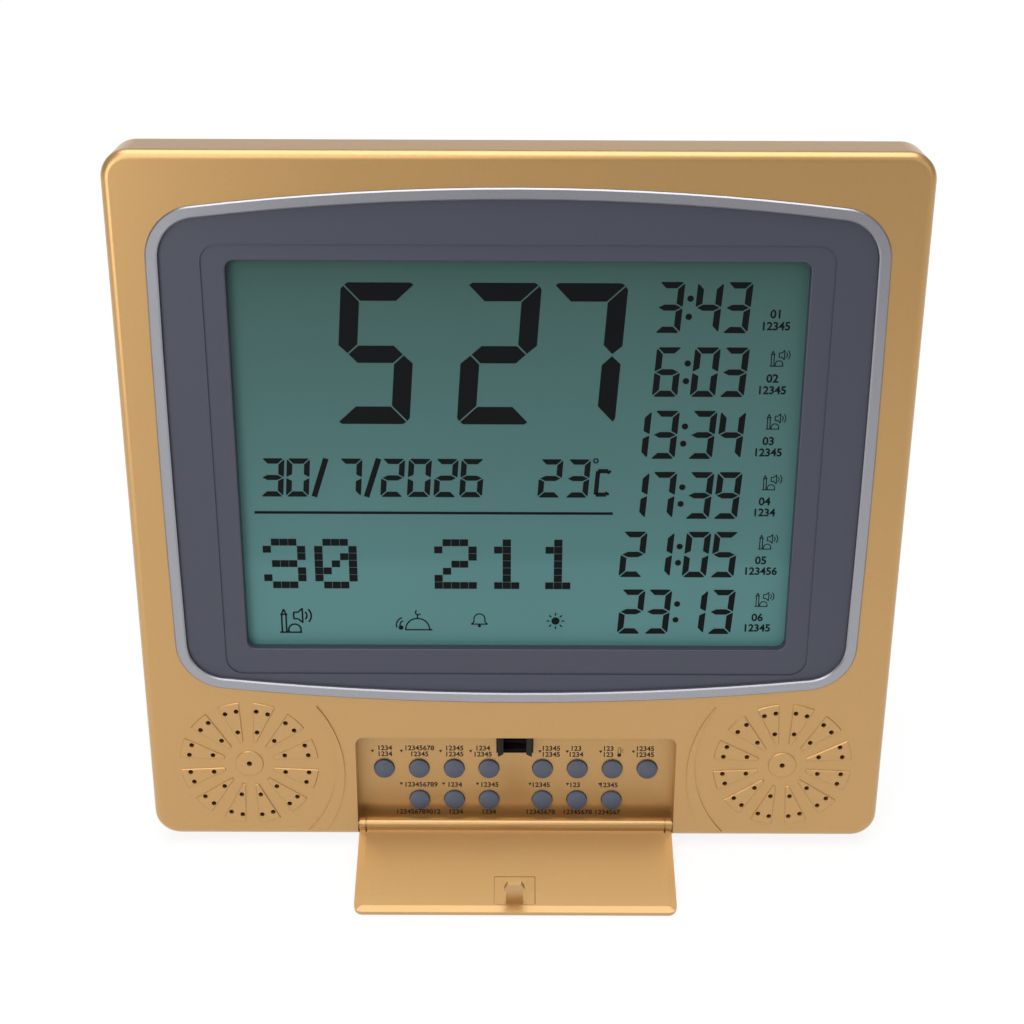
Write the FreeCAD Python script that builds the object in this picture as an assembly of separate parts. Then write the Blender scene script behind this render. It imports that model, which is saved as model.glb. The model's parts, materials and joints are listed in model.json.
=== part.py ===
import FreeCAD, Part
import math
import os
from FreeCAD import Vector

# Prayer-time alarm clock, in millimetres.
# Every piece is drawn in the case's own frame: X to the right, Y from the front face into the case,
# Z up from the bottom edge. At the end all pieces are leaned back together and stood on Z = 0.

# Case
WIDTH = 260.0
HEIGHT = 248.0
FRONT_DEPTH = 18.0
REAR_DEPTH = 30.0
WALL = 2.5
CORNER_R = 9.0
FRONT_EDGE_R = 2.8

# Display surround: four shallow arcs joined by rounded corners
DISPLAY_Z = 149.0
RING_HALF_W = 118.1
RING_TOP_Z = 236.9
RING_BOTTOM_Z = 55.0
RING_SIDE_R = 4600.0
RING_TOP_R = 855.0
RING_BOTTOM_R = 975.0
RING_CORNER_R = 17.0
RING_WIDTH = 3.8
RING_PROUD = 0.6
RING_SEAT = 1.2
RING_LEDGE = 1.5
RING_EDGE = 0.45
TRIM_GAP = 0.1

# Bezel and its stepped inner frame
BEZEL_FACE_Y = 1.0
BEZEL_BACK_Y = 4.5
BEZEL_FLANGE = 2.0
STEP_HALF_W = 100.7
STEP_LOW_Z = 65.5
STEP_HIGH_Z = 218.5
STEP_R = 6.0
STEP_DEPTH = 0.5
OPENING_HALF_W = 93.0
OPENING_LOW_Z = 75.0
OPENING_HIGH_Z = 213.0
OPENING_R = 3.0
OPENING_EDGE = 0.5

# Display glass
LCD_FACE_Y = 5.0
LCD_BORDER = 4.0
GLASS_T = 1.1
LCD_LEDGE = 5.5
REFLECTOR_T = 0.5
LCD_FRAME_WALL = 3.0
LCD_FRAME_BACK_Y = 10.0

# Boards
BOARD_T = 1.6
MAIN_BOARD_Y = 13.0
MAIN_BOARD_HALF_W = 60.0
MAIN_BOARD_LOW_Z = 120.0
MAIN_BOARD_HIGH_Z = 219.0
ZEBRA_HALF_W = 55.0
ZEBRA_T = 2.4
KEY_BOARD_HALF_W = 55.0
KEY_BOARD_LOW_Z = 5.5
KEY_POCKET_GAP = 0.5
KEY_POCKET_DEPTH = 2.2
KEY_POCKET_WALL = 2.2
KEY_BOARD_HIGH_Z = 28.5

# Control recess and door
RECESS_HALF_W = 56.8
RECESS_TOP_Z = 40.6
RECESS_R = 3.0
RECESS_FLOOR_Y = 8.0
FLOOR_T = 2.0
DOOR_GAP = 0.4
DOOR_T = 2.0
DOOR_TOP_GAP = 0.3
DOOR_CORNER_R = 3.0
DOOR_RIM = 2.6
DOOR_RIM_DEPTH = 0.2
HINGE_Y = 2.5
HINGE_Z = 3.5
HINGE_BARREL_R = 2.35
HINGE_EAR = 2.2
HINGE_GROOVE = 0.5
HINGE_PIN_R = 0.9
HINGE_PIN_IN = 5.0
HINGE_PIN_OUT = 3.0
DOOR_OPEN_DEG = 111.5

# Latch striker on the door
LATCH_X = -0.35
STRIKER_Z = 36.7
STRIKER_T = 1.5
STRIKER_LENGTH = 11.5
STRIKER_NECK_HALF_W = 3.0
STRIKER_HEAD_HALF_W = 3.55
STRIKER_HEAD_LENGTH = 4.0

# Touch latch behind the recess floor
LATCH_HALF_W = 6.65
LATCH_LOW_Z = 29.9
LATCH_HIGH_Z = 40.2
LATCH_BACK_Y = 23.5
LATCH_WALL = 0.8
LATCH_TRAVEL = 3.3
JAW_OPEN_DEG = 6.0
JAW_PIVOT_X = 4.4
JAW_PIVOT_Y = 14.5
JAW_T = 1.15
JAW_HEAD_GAP = 0.3
JAW_HOOK_GAP = 0.15
JAW_PIN_R = 0.5
JAW_GAP = 0.25
CLAW_LENGTH = 2.2
CLAW_GAP = 0.9
SLIDER_LIP = 1.4

# Buttons
BUTTON_COLUMNS = [9.65, 22.2, 34.8, 47.4]
BUTTON_HIGH_Z = 23.5
BUTTON_LOW_Z = 10.5
BUTTON_HOLE_R = 3.8
BUTTON_GAP = 0.22
BUTTON_PROUD = 1.0
BUTTON_DOME = 0.5
BUTTON_TRAVEL = 0.8
BUTTON_FLANGE_R = 4.7
BUTTON_FLANGE_T = 1.0
BUTTON_STEM_R = 2.0
BUTTON_STEM = 1.3
SWITCH_SIZE = 6.0
SWITCH_H = 3.5
SWITCH_PLUNGER_R = 1.65
SWITCH_PLUNGER = 1.0

# Speakers and their grilles
SPEAKER_X = 94.6
SPEAKER_Z = 30.1
SPEAKER_R = 25.0
SPEAKER_DEPTH = 14.5
SPEAKER_CLAMP_R = 27.5
SPEAKER_CLAMP_DEG = [40.0, 140.0, 220.0, 320.0]
GRILLE_HOLE_R = 0.85
GRILLE_OUTER_R = 21.35
GRILLE_INNER_R = 13.16
GRILLE_PAIR_DEG = 5.5
GRILLE_SECTORS = 12
PAD_OUTER_R = 24.6
PAD_INNER_R = 8.9
PAD_APEX_R = 6.1
PAD_HALF_DEG = 12.2
PAD_HEIGHT = 0.45
CRESCENT_HEIGHT = 0.6
HUB_R = 5.0

# Rear cover
COVER_GAP = 0.3
COVER_FLANGE_T = 3.5
BULGE_INSET = 12.0
BULGE_R = 10.0
BULGE_EDGE = 3.0
COVER_WALL = 2.2
CASE_SCREW_INSET = 6.0
CASE_SCREW_X = WIDTH / 2 - CASE_SCREW_INSET
CASE_SCREWS = [(CASE_SCREW_X, 66.0), (CASE_SCREW_X, 150.0), (CASE_SCREW_X, HEIGHT - 14.0)]
CASE_SCREWS += [(60.0, HEIGHT - 6.5), (64.0, 7.0)]
CASE_BOSS_R = 3.4
SCREW_R = 1.25
SCREW_CLEAR_R = 1.7
SCREW_HEAD_R = 2.8
SCREW_HEAD_T = 2.0
SCREW_BITE = 7.0
VENT_X = 92.0
VENT_HALF_L = 12.0
KEYHOLE_X = 62.0
KEYHOLE_Z = 205.0
KEYHOLE_R = 4.5
KEYHOLE_SLOT_R = 2.2
KEYHOLE_SLOT_UP = 7.5

# Battery bay, three AA cells lying across
BAY_X = 72.0
BAY_Z = 87.0
CELL_R = 7.15
CELL_LENGTH = 49.2
CELL_TIP_R = 2.75
CELL_TIP = 1.3
CELL_PITCH = 15.6
CELL_GAP = 0.2
BAY_END = 3.6
BAY_WALL = 1.6
BAY_FLOOR_Y = 13.3
BATTERY_COVER_T = 1.8
BATTERY_COVER_LIP = 1.1
BATTERY_COVER_GAP = 0.3
CONTACT_T = 0.4

# Rear stand
STAND_HALF_W = 30.0
STAND_T = 3.0
STAND_HINGE_Y = 28.1
STAND_HINGE_Z = 108.0
STAND_OPEN_DEG = 27.0
STAND_PIN_R = 1.25
STAND_SIDE_GAP = 1.0
STAND_RECESS_FLOOR_Y = 25.8
STAND_HEEL = 1.9
STAND_CHEEK = 4.5

RUN_GAP = 0.05
TIP_CLEAR = 0.4

# Sizes that follow from the ones above
FLOOR_BACK_Y = RECESS_FLOOR_Y + FLOOR_T
BUTTON_BACK_Y = FLOOR_BACK_Y + 0.1 + BUTTON_FLANGE_T + BUTTON_STEM
SWITCH_TIP_Y = BUTTON_BACK_Y + BUTTON_TRAVEL + 0.1
KEY_BOARD_Y = SWITCH_TIP_Y + SWITCH_PLUNGER + SWITCH_H
COVER_FRONT_Y = FRONT_DEPTH - COVER_FLANGE_T
BAY_HALF_L = CELL_LENGTH / 2 + CELL_TIP / 2 + BAY_END
BAY_HALF_H = 1.5 * CELL_PITCH + 0.6
CELL_Y = BAY_FLOOR_Y + CELL_GAP + CELL_R
NODES = {}


def box(x0, x1, y0, y1, z0, z1):
    return Part.makeBox(x1 - x0, y1 - y0, z1 - z0, Vector(x0, y0, z0))


def rod_x(y, z, r, x0, x1):
    return Part.makeCylinder(r, x1 - x0, Vector(x0, y, z), Vector(1, 0, 0))


def rod_y(x, z, r, y0, y1):
    return Part.makeCylinder(r, y1 - y0, Vector(x, y0, z), Vector(0, 1, 0))


def rod_z(x, y, r, z0, z1):
    return Part.makeCylinder(r, z1 - z0, Vector(x, y, z0), Vector(0, 0, 1))


def taper_y(x, z, r0, r1, y0, y1):
    return Part.makeCone(r0, r1, y1 - y0, Vector(x, y0, z), Vector(0, 1, 0))


def round_along_y(shape, r):
    edges = [e for e in shape.Edges if is_along_y(e)]
    return shape.makeFillet(r, edges)


def is_along_y(edge):
    if not isinstance(edge.Curve, Part.Line):
        return False
    step = edge.Vertexes[-1].Point - edge.Vertexes[0].Point
    return abs(step.x) < 1e-6 and abs(step.z) < 1e-6 and abs(step.y) > 1e-6


def rounded_box(x0, x1, y0, y1, z0, z1, r):
    return round_along_y(box(x0, x1, y0, y1, z0, z1), r)


def edges_at_y(shape, y):
    return [e for e in shape.Edges if abs(e.BoundBox.YMin - y) < 1e-4 and abs(e.BoundBox.YMax - y) < 1e-4]


def case_block(inset, y0, y1, r):
    return rounded_box(inset - WIDTH / 2, WIDTH / 2 - inset, y0, y1, inset, HEIGHT - inset, r)


def lens(inset, y0, y1):
    # Common of four large discs, each drawn in by the inset, with its corners rounded
    discs = [
        rod_y(0, RING_TOP_Z - RING_TOP_R, RING_TOP_R - inset, y0, y1),
        rod_y(0, RING_BOTTOM_Z + RING_BOTTOM_R, RING_BOTTOM_R - inset, y0, y1),
        rod_y(RING_HALF_W - RING_SIDE_R, DISPLAY_Z, RING_SIDE_R - inset, y0, y1),
        rod_y(RING_SIDE_R - RING_HALF_W, DISPLAY_Z, RING_SIDE_R - inset, y0, y1),
    ]
    shape = box(inset - WIDTH / 2, WIDTH / 2 - inset, y0, y1, inset, HEIGHT - inset)
    for disc in discs:
        shape = shape.common(disc)
    return round_along_y(shape, RING_CORNER_R - inset)


def prism_x(points, x0, x1):
    corners = [Vector(x0, y, z) for y, z in points]
    face = Part.Face(Part.makePolygon(corners + corners[:1]))
    return face.extrude(Vector(x1 - x0, 0, 0))


def prism_z(points, z0, z1):
    corners = [Vector(x, y, z0) for x, y in points]
    face = Part.Face(Part.makePolygon(corners + corners[:1]))
    return face.extrude(Vector(0, 0, z1 - z0))


def mirrored(shape):
    return shape.mirror(Vector(0, 0, 0), Vector(1, 0, 0))


def turned(shape, y, z, degrees):
    # Positive degrees tip +Z towards -Y about an axis along X
    copy = shape.copy()
    copy.rotate(Vector(0, y, z), Vector(1, 0, 0), degrees)
    return copy


def fused(shapes):
    return shapes[0].multiFuse(shapes[1:]).removeSplitter()


def wire_path(points, ratio):
    # Straight runs joined by tangent arcs, each as large as its two runs allow
    corners = [Vector(*p) for p in points]
    edges = []
    start = corners[0]
    for before, here, after in zip(corners, corners[1:], corners[2:]):
        into = (here - before)
        away = (after - here)
        reach = ratio * min(into.Length, away.Length)
        first = here - into.normalize() * reach
        last = here + away.normalize() * reach
        turn = math.acos(max(-1.0, min(1.0, into.dot(away))))
        radius = reach / math.tan(turn / 2)
        inward = (away - into).normalize()
        middle = here + inward * (radius / math.cos(turn / 2) - radius)
        edges.append(Part.LineSegment(start, first).toShape())
        edges.append(Part.Arc(first, middle, last).toShape())
        start = last
    edges.append(Part.LineSegment(start, corners[-1]).toShape())
    return Part.Wire(edges)


def lead(points, r):
    path = wire_path(points, 0.45)
    first = Vector(*points[0])
    along = Vector(*points[1]) - first
    ring = Part.Wire(Part.makeCircle(r, first, along))
    return path.makePipeShell([ring], True, False)


# Speaker grille pieces, about a centre in the front face

def sector_pad():
    # A wedge that points at the hub, cut by two arcs
    half = math.radians(PAD_HALF_DEG)
    reach = PAD_OUTER_R * 1.3
    side = (reach - PAD_APEX_R) * math.tan(half)
    outline = [(0.0, PAD_APEX_R), (side, reach), (-side, reach)]
    corners = [Vector(x, -PAD_HEIGHT, z) for x, z in outline]
    wedge = Part.Face(Part.makePolygon(corners + corners[:1])).extrude(Vector(0, PAD_HEIGHT + WALL / 2, 0))
    band = rod_y(0, 0, PAD_OUTER_R, -PAD_HEIGHT, WALL / 2)
    band = band.cut(rod_y(0, 0, PAD_INNER_R, -PAD_HEIGHT, WALL / 2))
    pad = wedge.common(band)
    return pad.makeChamfer(PAD_HEIGHT * 0.55, edges_at_y(pad, -PAD_HEIGHT))


def grille_relief():
    pad = sector_pad()
    pads = []
    for k in range(GRILLE_SECTORS):
        copy = pad.copy()
        copy.rotate(Vector(0, 0, 0), Vector(0, 1, 0), (k + 0.5) * 360.0 / GRILLE_SECTORS)
        pads.append(copy)
    hub = rod_y(0, 0, HUB_R, -PAD_HEIGHT, WALL / 2)
    pads.append(hub.makeChamfer(PAD_HEIGHT * 0.55, edges_at_y(hub, -PAD_HEIGHT)))
    return pads


def grille_holes():
    holes = [rod_y(0, 0, GRILLE_HOLE_R * 1.1, -1, WALL + 1)]
    for k in range(GRILLE_SECTORS):
        middle = (k + 0.5) * 360.0 / GRILLE_SECTORS
        spots = [(GRILLE_INNER_R, middle), (GRILLE_OUTER_R, middle - GRILLE_PAIR_DEG)]
        spots.append((GRILLE_OUTER_R, middle + GRILLE_PAIR_DEG))
        for radius, degrees in spots:
            angle = math.radians(degrees)
            x, z = radius * math.sin(angle), radius * math.cos(angle)
            holes.append(rod_y(x, z, GRILLE_HOLE_R, -1, WALL + 1))
    return holes


def crescent():
    # Raised crescent between the grille and the controls: two arcs from one tip, open at the bottom edge
    tip = Vector(70.0, 0, 53.4)
    outer_foot = Vector(68.3, 0, 2.2)
    inner_foot = Vector(74.5, 0, 2.2)
    outer = Part.Arc(tip, Vector(60.9, 0, 29.0), outer_foot).toShape()
    inner = Part.Arc(inner_foot, Vector(63.4, 0, 30.0), tip).toShape()
    foot = Part.LineSegment(outer_foot, inner_foot).toShape()
    face = Part.Face(Part.Wire([outer, foot, inner]))
    face.translate(Vector(0, -CRESCENT_HEIGHT, 0))
    return face.extrude(Vector(0, CRESCENT_HEIGHT + WALL / 2, 0))


def button_spots():
    # Left to right along the upper row, then along the lower row
    upper = [-x for x in reversed(BUTTON_COLUMNS)] + BUTTON_COLUMNS
    lower = [-x for x in reversed(BUTTON_COLUMNS[:3])] + BUTTON_COLUMNS[:3]
    return [(x, BUTTON_HIGH_Z) for x in upper] + [(x, BUTTON_LOW_Z) for x in lower]


def both_sides(spots):
    return spots + [(-x, z) for x, z in spots]


def speaker_clamp_spots(x):
    spots = []
    for degrees in SPEAKER_CLAMP_DEG:
        angle = math.radians(degrees)
        spots.append((x + SPEAKER_CLAMP_R * math.cos(angle), SPEAKER_Z + SPEAKER_CLAMP_R * math.sin(angle)))
    return spots


def key_board_screw_spots():
    x = KEY_BOARD_HALF_W - 3.0
    return [(-x, KEY_BOARD_HIGH_Z - 14.0), (x, KEY_BOARD_HIGH_Z - 14.0), (0.0, KEY_BOARD_LOW_Z + 6.0)]


def main_board_screw_spots():
    x = MAIN_BOARD_HALF_W - 4.0
    return both_sides([(x, MAIN_BOARD_LOW_Z + 4.0), (x, MAIN_BOARD_HIGH_Z - 12.0)])


def lcd_frame_screw_spots():
    x = OPENING_HALF_W + LCD_BORDER + LCD_FRAME_WALL + 4.5
    return both_sides([(x, OPENING_LOW_Z + 10.0), (x, OPENING_HIGH_Z - 10.0)])


# Front case

def front_case():
    shell = case_block(0, 0, FRONT_DEPTH, CORNER_R)
    shell = shell.makeFillet(FRONT_EDGE_R, edges_at_y(shell, 0.0))
    shell = shell.cut(case_block(WALL, WALL, FRONT_DEPTH + 1, CORNER_R - WALL))
    tub_half = RECESS_HALF_W + FLOOR_T
    tub = box(-tub_half, tub_half, WALL, RECESS_FLOOR_Y + FLOOR_T, WALL, RECESS_TOP_Z + FLOOR_T)
    adds = [tub]
    for side in (-1, 1):
        x0, x1 = sorted((side * RECESS_HALF_W, side * (RECESS_HALF_W + HINGE_PIN_OUT + 1.5)))
        adds.append(box(x0, x1, WALL, HINGE_Y + 3.5, WALL, HINGE_Z + 3.5))
        for pad in grille_relief():
            pad.translate(Vector(side * SPEAKER_X, 0, SPEAKER_Z))
            adds.append(pad)
        for x, z in speaker_clamp_spots(side * SPEAKER_X):
            adds.append(rod_y(x, z, 2.4, WALL, WALL + 1.7))
    adds += [mirrored(crescent()), crescent()]
    for x, z in both_sides(CASE_SCREWS):
        adds.append(rod_y(x, z, CASE_BOSS_R, WALL, COVER_FRONT_Y))
    for x, z in key_board_screw_spots():
        adds.append(rod_y(x, z, 2.5, FLOOR_BACK_Y, KEY_BOARD_Y))
    shell = fused([shell] + adds)
    return shell.cut(Part.makeCompound(front_case_cuts()))


def front_case_cuts():
    cuts = [lens(RING_LEDGE - TRIM_GAP, -1, WALL + 1), lens(-TRIM_GAP, -1, RING_SEAT)]
    pocket = rounded_box(-RECESS_HALF_W, RECESS_HALF_W, -1, RECESS_FLOOR_Y, -10, RECESS_TOP_Z, RECESS_R)
    cuts.append(pocket.cut(bottom_lip()))
    x0, x1 = LATCH_X - LATCH_HALF_W, LATCH_X + LATCH_HALF_W
    cuts.append(box(x0, x1, -1, FLOOR_BACK_Y + 1, LATCH_LOW_Z, LATCH_HIGH_Z))
    for x, z in button_spots():
        cuts.append(rod_y(x, z, BUTTON_HOLE_R, RECESS_FLOOR_Y - 1, FLOOR_BACK_Y + 1))
    pin_end = RECESS_HALF_W + HINGE_PIN_OUT
    cuts.append(rod_x(HINGE_Y, HINGE_Z, HINGE_PIN_R, -pin_end, pin_end))
    for side in (-1, 1):
        for hole in grille_holes():
            hole.translate(Vector(side * SPEAKER_X, 0, SPEAKER_Z))
            cuts.append(hole)
        for x, z in speaker_clamp_spots(side * SPEAKER_X):
            cuts.append(rod_y(x, z, 1.0, WALL - 1, WALL + 3))
    for x, z in both_sides(CASE_SCREWS):
        cuts.append(rod_y(x, z, SCREW_R, COVER_FRONT_Y - SCREW_BITE - 1, COVER_FRONT_Y + 1))
    for x, z in key_board_screw_spots():
        cuts.append(rod_y(x, z, 1.0, FLOOR_BACK_Y + 1, KEY_BOARD_Y + 1))
    return cuts


def bottom_lip():
    # What is left of the bottom wall under the door's barrel, sloped to clear the open door
    points = [(1.5, -11.0), (1.5, 0.0), (3.4, 0.75), (HINGE_Y + HINGE_BARREL_R + 0.15, 1.2)]
    points += [(HINGE_Y + HINGE_BARREL_R + 0.45, WALL), (RECESS_FLOOR_Y, WALL), (RECESS_FLOOR_Y, -11.0)]
    return prism_x(points, -RECESS_HALF_W - 1, RECESS_HALF_W + 1)


# Display surround

def trim_ring():
    band = lens(0, -RING_PROUD, RING_SEAT).cut(lens(RING_WIDTH, -RING_PROUD - 1, RING_SEAT + 1))
    band = band.makeChamfer(RING_EDGE, edges_at_y(band, -RING_PROUD))
    skirt = lens(RING_LEDGE, RING_SEAT, WALL).cut(lens(RING_WIDTH, RING_SEAT - 1, WALL + 1))
    return fused([band, skirt])


def display_bezel():
    plate = lens(RING_WIDTH + TRIM_GAP, BEZEL_FACE_Y, BEZEL_BACK_Y)
    flange = lens(-BEZEL_FLANGE, WALL, BEZEL_BACK_Y)
    collar_y = BEZEL_FACE_Y + 1
    collar = rounded_box(-STEP_HALF_W, STEP_HALF_W, collar_y, LCD_FACE_Y, STEP_LOW_Z, STEP_HIGH_Z, STEP_R)
    posts = [rod_y(x, z, 3.0, BEZEL_BACK_Y - 1, LCD_FRAME_BACK_Y - 2) for x, z in lcd_frame_screw_spots()]
    body = fused([plate, flange, collar] + posts)
    face = BEZEL_FACE_Y + STEP_DEPTH
    step = rounded_box(-STEP_HALF_W, STEP_HALF_W, 0, face, STEP_LOW_Z, STEP_HIGH_Z, STEP_R)
    window = rounded_box(-OPENING_HALF_W, OPENING_HALF_W, 0, 9, OPENING_LOW_Z, OPENING_HIGH_Z, OPENING_R)
    body = body.cut(step).cut(window)
    rim = [e for e in edges_at_y(body, face) if inside_opening(e)]
    body = body.makeFillet(OPENING_EDGE, rim)
    pilots = [rod_y(x, z, 1.0, BEZEL_BACK_Y, LCD_FRAME_BACK_Y) for x, z in lcd_frame_screw_spots()]
    return body.cut(Part.makeCompound(pilots))


def inside_opening(edge):
    b = edge.BoundBox
    return max(abs(b.XMin), abs(b.XMax)) < OPENING_HALF_W + 0.1 and b.ZMax < OPENING_HIGH_Z + 0.1


def lcd_nodes():
    half_w = OPENING_HALF_W + LCD_BORDER
    low = OPENING_LOW_Z - LCD_BORDER
    high = OPENING_HIGH_Z + LCD_BORDER
    mid_y = LCD_FACE_Y + GLASS_T
    back_y = mid_y + GLASS_T
    NODES["lcd_front_glass"] = box(-half_w, half_w, LCD_FACE_Y, mid_y, low, high)
    NODES["lcd_rear_glass"] = box(-half_w, half_w, mid_y, back_y, low, high - LCD_LEDGE)
    film_back = back_y + REFLECTOR_T
    NODES["lcd_reflector"] = box(1 - half_w, half_w - 1, back_y, film_back, low + 1, high - LCD_LEDGE - 1)
    NODES["lcd_frame"] = lcd_frame(half_w, low, high, film_back)
    zebra_z = high - LCD_LEDGE / 2
    half_t = ZEBRA_T / 2
    zebra = box(-ZEBRA_HALF_W, ZEBRA_HALF_W, mid_y, MAIN_BOARD_Y, zebra_z - half_t, zebra_z + half_t)
    NODES["zebra_strip"] = zebra


def lcd_frame(half_w, low, high, seat_y):
    wall = LCD_FRAME_WALL
    gap = 0.2
    body = box(-half_w - wall, half_w + wall, LCD_FACE_Y, LCD_FRAME_BACK_Y, low - wall, high + wall)
    pocket = box(-half_w - gap, half_w + gap, LCD_FACE_Y - 1, seat_y, low - gap, high + gap)
    window = rounded_box(-half_w + 6, half_w - 6, 0, 20, low + 6, high - 10, 4)
    zebra_z = high - LCD_LEDGE / 2
    slot_x = ZEBRA_HALF_W + gap
    slot_z = ZEBRA_T / 2 + gap
    slot = box(-slot_x, slot_x, 0, 20, zebra_z - slot_z, zebra_z + slot_z)
    ears = []
    bores = []
    for x, z in lcd_frame_screw_spots():
        inner = math.copysign(half_w + wall - 1, x)
        x0, x1 = sorted((inner, x + math.copysign(3.2, x)))
        ears.append(box(x0, x1, LCD_FRAME_BACK_Y - 2, LCD_FRAME_BACK_Y, z - 4, z + 4))
        bores.append(rod_y(x, z, 1.3, LCD_FACE_Y, 20))
    posts = []
    for x, z in main_board_screw_spots():
        posts.append(rod_y(x, z, 2.6, LCD_FRAME_BACK_Y - 1, MAIN_BOARD_Y))
        bores.append(rod_y(x, z, 1.0, MAIN_BOARD_Y - 4.0, 20))
    ribs = []
    for x in (-MAIN_BOARD_HALF_W + 4.0, MAIN_BOARD_HALF_W - 4.0):
        ribs.append(box(x - 4, x + 4, seat_y, LCD_FRAME_BACK_Y, low, high))
    body = body.cut(pocket).cut(window)
    return fused([body] + ears + ribs + posts).cut(slot).cut(Part.makeCompound(bores))


# Boards

def board_nodes():
    back_y = MAIN_BOARD_Y + BOARD_T
    half_w = MAIN_BOARD_HALF_W
    board = rounded_box(-half_w, half_w, MAIN_BOARD_Y, back_y, MAIN_BOARD_LOW_Z, MAIN_BOARD_HIGH_Z, 2.0)
    holes = [rod_y(x, z, 1.3, 0, 40) for x, z in main_board_screw_spots()]
    NODES["main_board"] = board.cut(Part.makeCompound(holes))
    NODES["main_board_parts"] = Part.makeCompound(main_board_parts(back_y))
    key_back = KEY_BOARD_Y + BOARD_T
    keys = rounded_box(-KEY_BOARD_HALF_W, KEY_BOARD_HALF_W, KEY_BOARD_Y, key_back,
                       KEY_BOARD_LOW_Z, KEY_BOARD_HIGH_Z, 1.5)
    holes = [rod_y(x, z, 1.3, 0, 40) for x, z in key_board_screw_spots()]
    NODES["key_board"] = keys.cut(Part.makeCompound(holes))
    NODES["tact_switches"] = Part.makeCompound([tact_switch(x, z) for x, z in button_spots()])
    screws = [board_screw(x, z, back_y, 5.0) for x, z in main_board_screw_spots()]
    screws += [board_screw(x, z, key_back, 6.0) for x, z in key_board_screw_spots()]
    screws += [board_screw(x, z, LCD_FRAME_BACK_Y, 4.0) for x, z in lcd_frame_screw_spots()]
    NODES["board_screws"] = Part.makeCompound(screws)


def main_board_parts(y):
    blob = Part.makeSphere(11.0, Vector(-10, y - 6.5, 178))
    blob = blob.common(box(-40, 40, y, y + 8, 150, 200))
    parts = [blob]
    for x in (16.0, 40.0):
        parts.append(box(x, x + 12.0, y, y + 2.2, 150, 158))
    parts.append(rounded_box(-44, -36, y, y + 3.6, 150, 153.6, 1.6))
    for k in range(4):
        parts.append(rod_y(-46 + 9.0 * k, 136, 2.6, y, y + 7.5))
    for k in range(10):
        parts.append(box(8 + 4.0 * k, 10 + 4.0 * k, y, y + 0.9, 196, 199.2))
    for k in range(8):
        parts.append(box(-44 + 4.0 * k, -42 + 4.0 * k, y, y + 0.9, 196, 199.2))
    parts.append(box(-45, -25, y, y + 3.0, MAIN_BOARD_LOW_Z + 1, MAIN_BOARD_LOW_Z + 5))
    for x in (-16.0, 4.0, 24.0):
        parts.append(box(x, x + 8, y, y + 5.0, MAIN_BOARD_LOW_Z + 1, MAIN_BOARD_LOW_Z + 6.8))
    return parts


def tact_switch(x, z):
    half = SWITCH_SIZE / 2
    body = box(x - half, x + half, KEY_BOARD_Y - SWITCH_H, KEY_BOARD_Y, z - half, z + half)
    plunger = rod_y(x, z, SWITCH_PLUNGER_R, SWITCH_TIP_Y, KEY_BOARD_Y - SWITCH_H + 0.5)
    return body.fuse(plunger)


def board_screw(x, z, y, length):
    head = rod_y(x, z, 2.2, y, y + 1.6)
    head = head.makeFillet(0.6, edges_at_y(head, y + 1.6))
    slot = box(x - 0.3, x + 0.3, y + 0.9, y + 3, z - 1.3, z + 1.3)
    bar = box(x - 1.3, x + 1.3, y + 0.9, y + 3, z - 0.3, z + 0.3)
    shank = rod_y(x, z, 0.98, y - length, y + 0.5)
    return head.fuse(shank).cut(slot.fuse(bar))


# Buttons

def button(x, z):
    r = BUTTON_HOLE_R - BUTTON_GAP
    rim_y = RECESS_FLOOR_Y - BUTTON_PROUD
    cap = rod_y(x, z, r, rim_y, FLOOR_BACK_Y + 0.1)
    dome_r = (r * r + BUTTON_DOME * BUTTON_DOME) / (2 * BUTTON_DOME)
    dome = Part.makeSphere(dome_r, Vector(x, rim_y - BUTTON_DOME + dome_r, z))
    dome = dome.common(rod_y(x, z, r, rim_y - BUTTON_DOME - 1, rim_y + 0.5))
    cap = cap.fuse(dome).removeSplitter()
    flange = rod_y(x, z, BUTTON_FLANGE_R, FLOOR_BACK_Y + 0.1, FLOOR_BACK_Y + 0.1 + BUTTON_FLANGE_T)
    stem = rod_y(x, z, BUTTON_STEM_R, FLOOR_BACK_Y + BUTTON_FLANGE_T, BUTTON_BACK_Y)
    return fused([cap, flange, stem])


# Door, drawn closed and then swung open

def control_door():
    half_w = RECESS_HALF_W - DOOR_GAP
    top = RECESS_TOP_Z - DOOR_TOP_GAP
    plate = box(-half_w, half_w, 0, DOOR_T, HINGE_Z, top)
    corners = [e for e in plate.Edges if is_along_y(e) and e.BoundBox.ZMin > top - 1]
    plate = plate.makeFillet(DOOR_CORNER_R, corners)
    plate = chamfered_rim(plate, half_w, top)
    barrel = rod_x(HINGE_Y, HINGE_Z, HINGE_BARREL_R, -half_w, half_w)
    blend = box(-half_w, half_w, 0.15, HINGE_Y, HINGE_Z, HINGE_Z + 2.2)
    door = fused([plate, barrel, blend] + striker())
    for side in (-1, 1):
        x0, x1 = sorted((side * (half_w - HINGE_EAR), side * (half_w - HINGE_EAR - HINGE_GROOVE)))
        ring = rod_x(HINGE_Y, HINGE_Z, HINGE_BARREL_R + 1, x0, x1)
        door = door.cut(ring.cut(rod_x(HINGE_Y, HINGE_Z, HINGE_BARREL_R - HINGE_GROOVE, x0, x1)))
    inner = half_w - HINGE_PIN_IN
    for side in (-1, 1):
        x0, x1 = sorted((side * inner, side * (half_w + 1)))
        door = door.cut(rod_x(HINGE_Y, HINGE_Z, HINGE_PIN_R + RUN_GAP, x0, x1))
    return turned(door, HINGE_Y, HINGE_Z, DOOR_OPEN_DEG)


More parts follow.
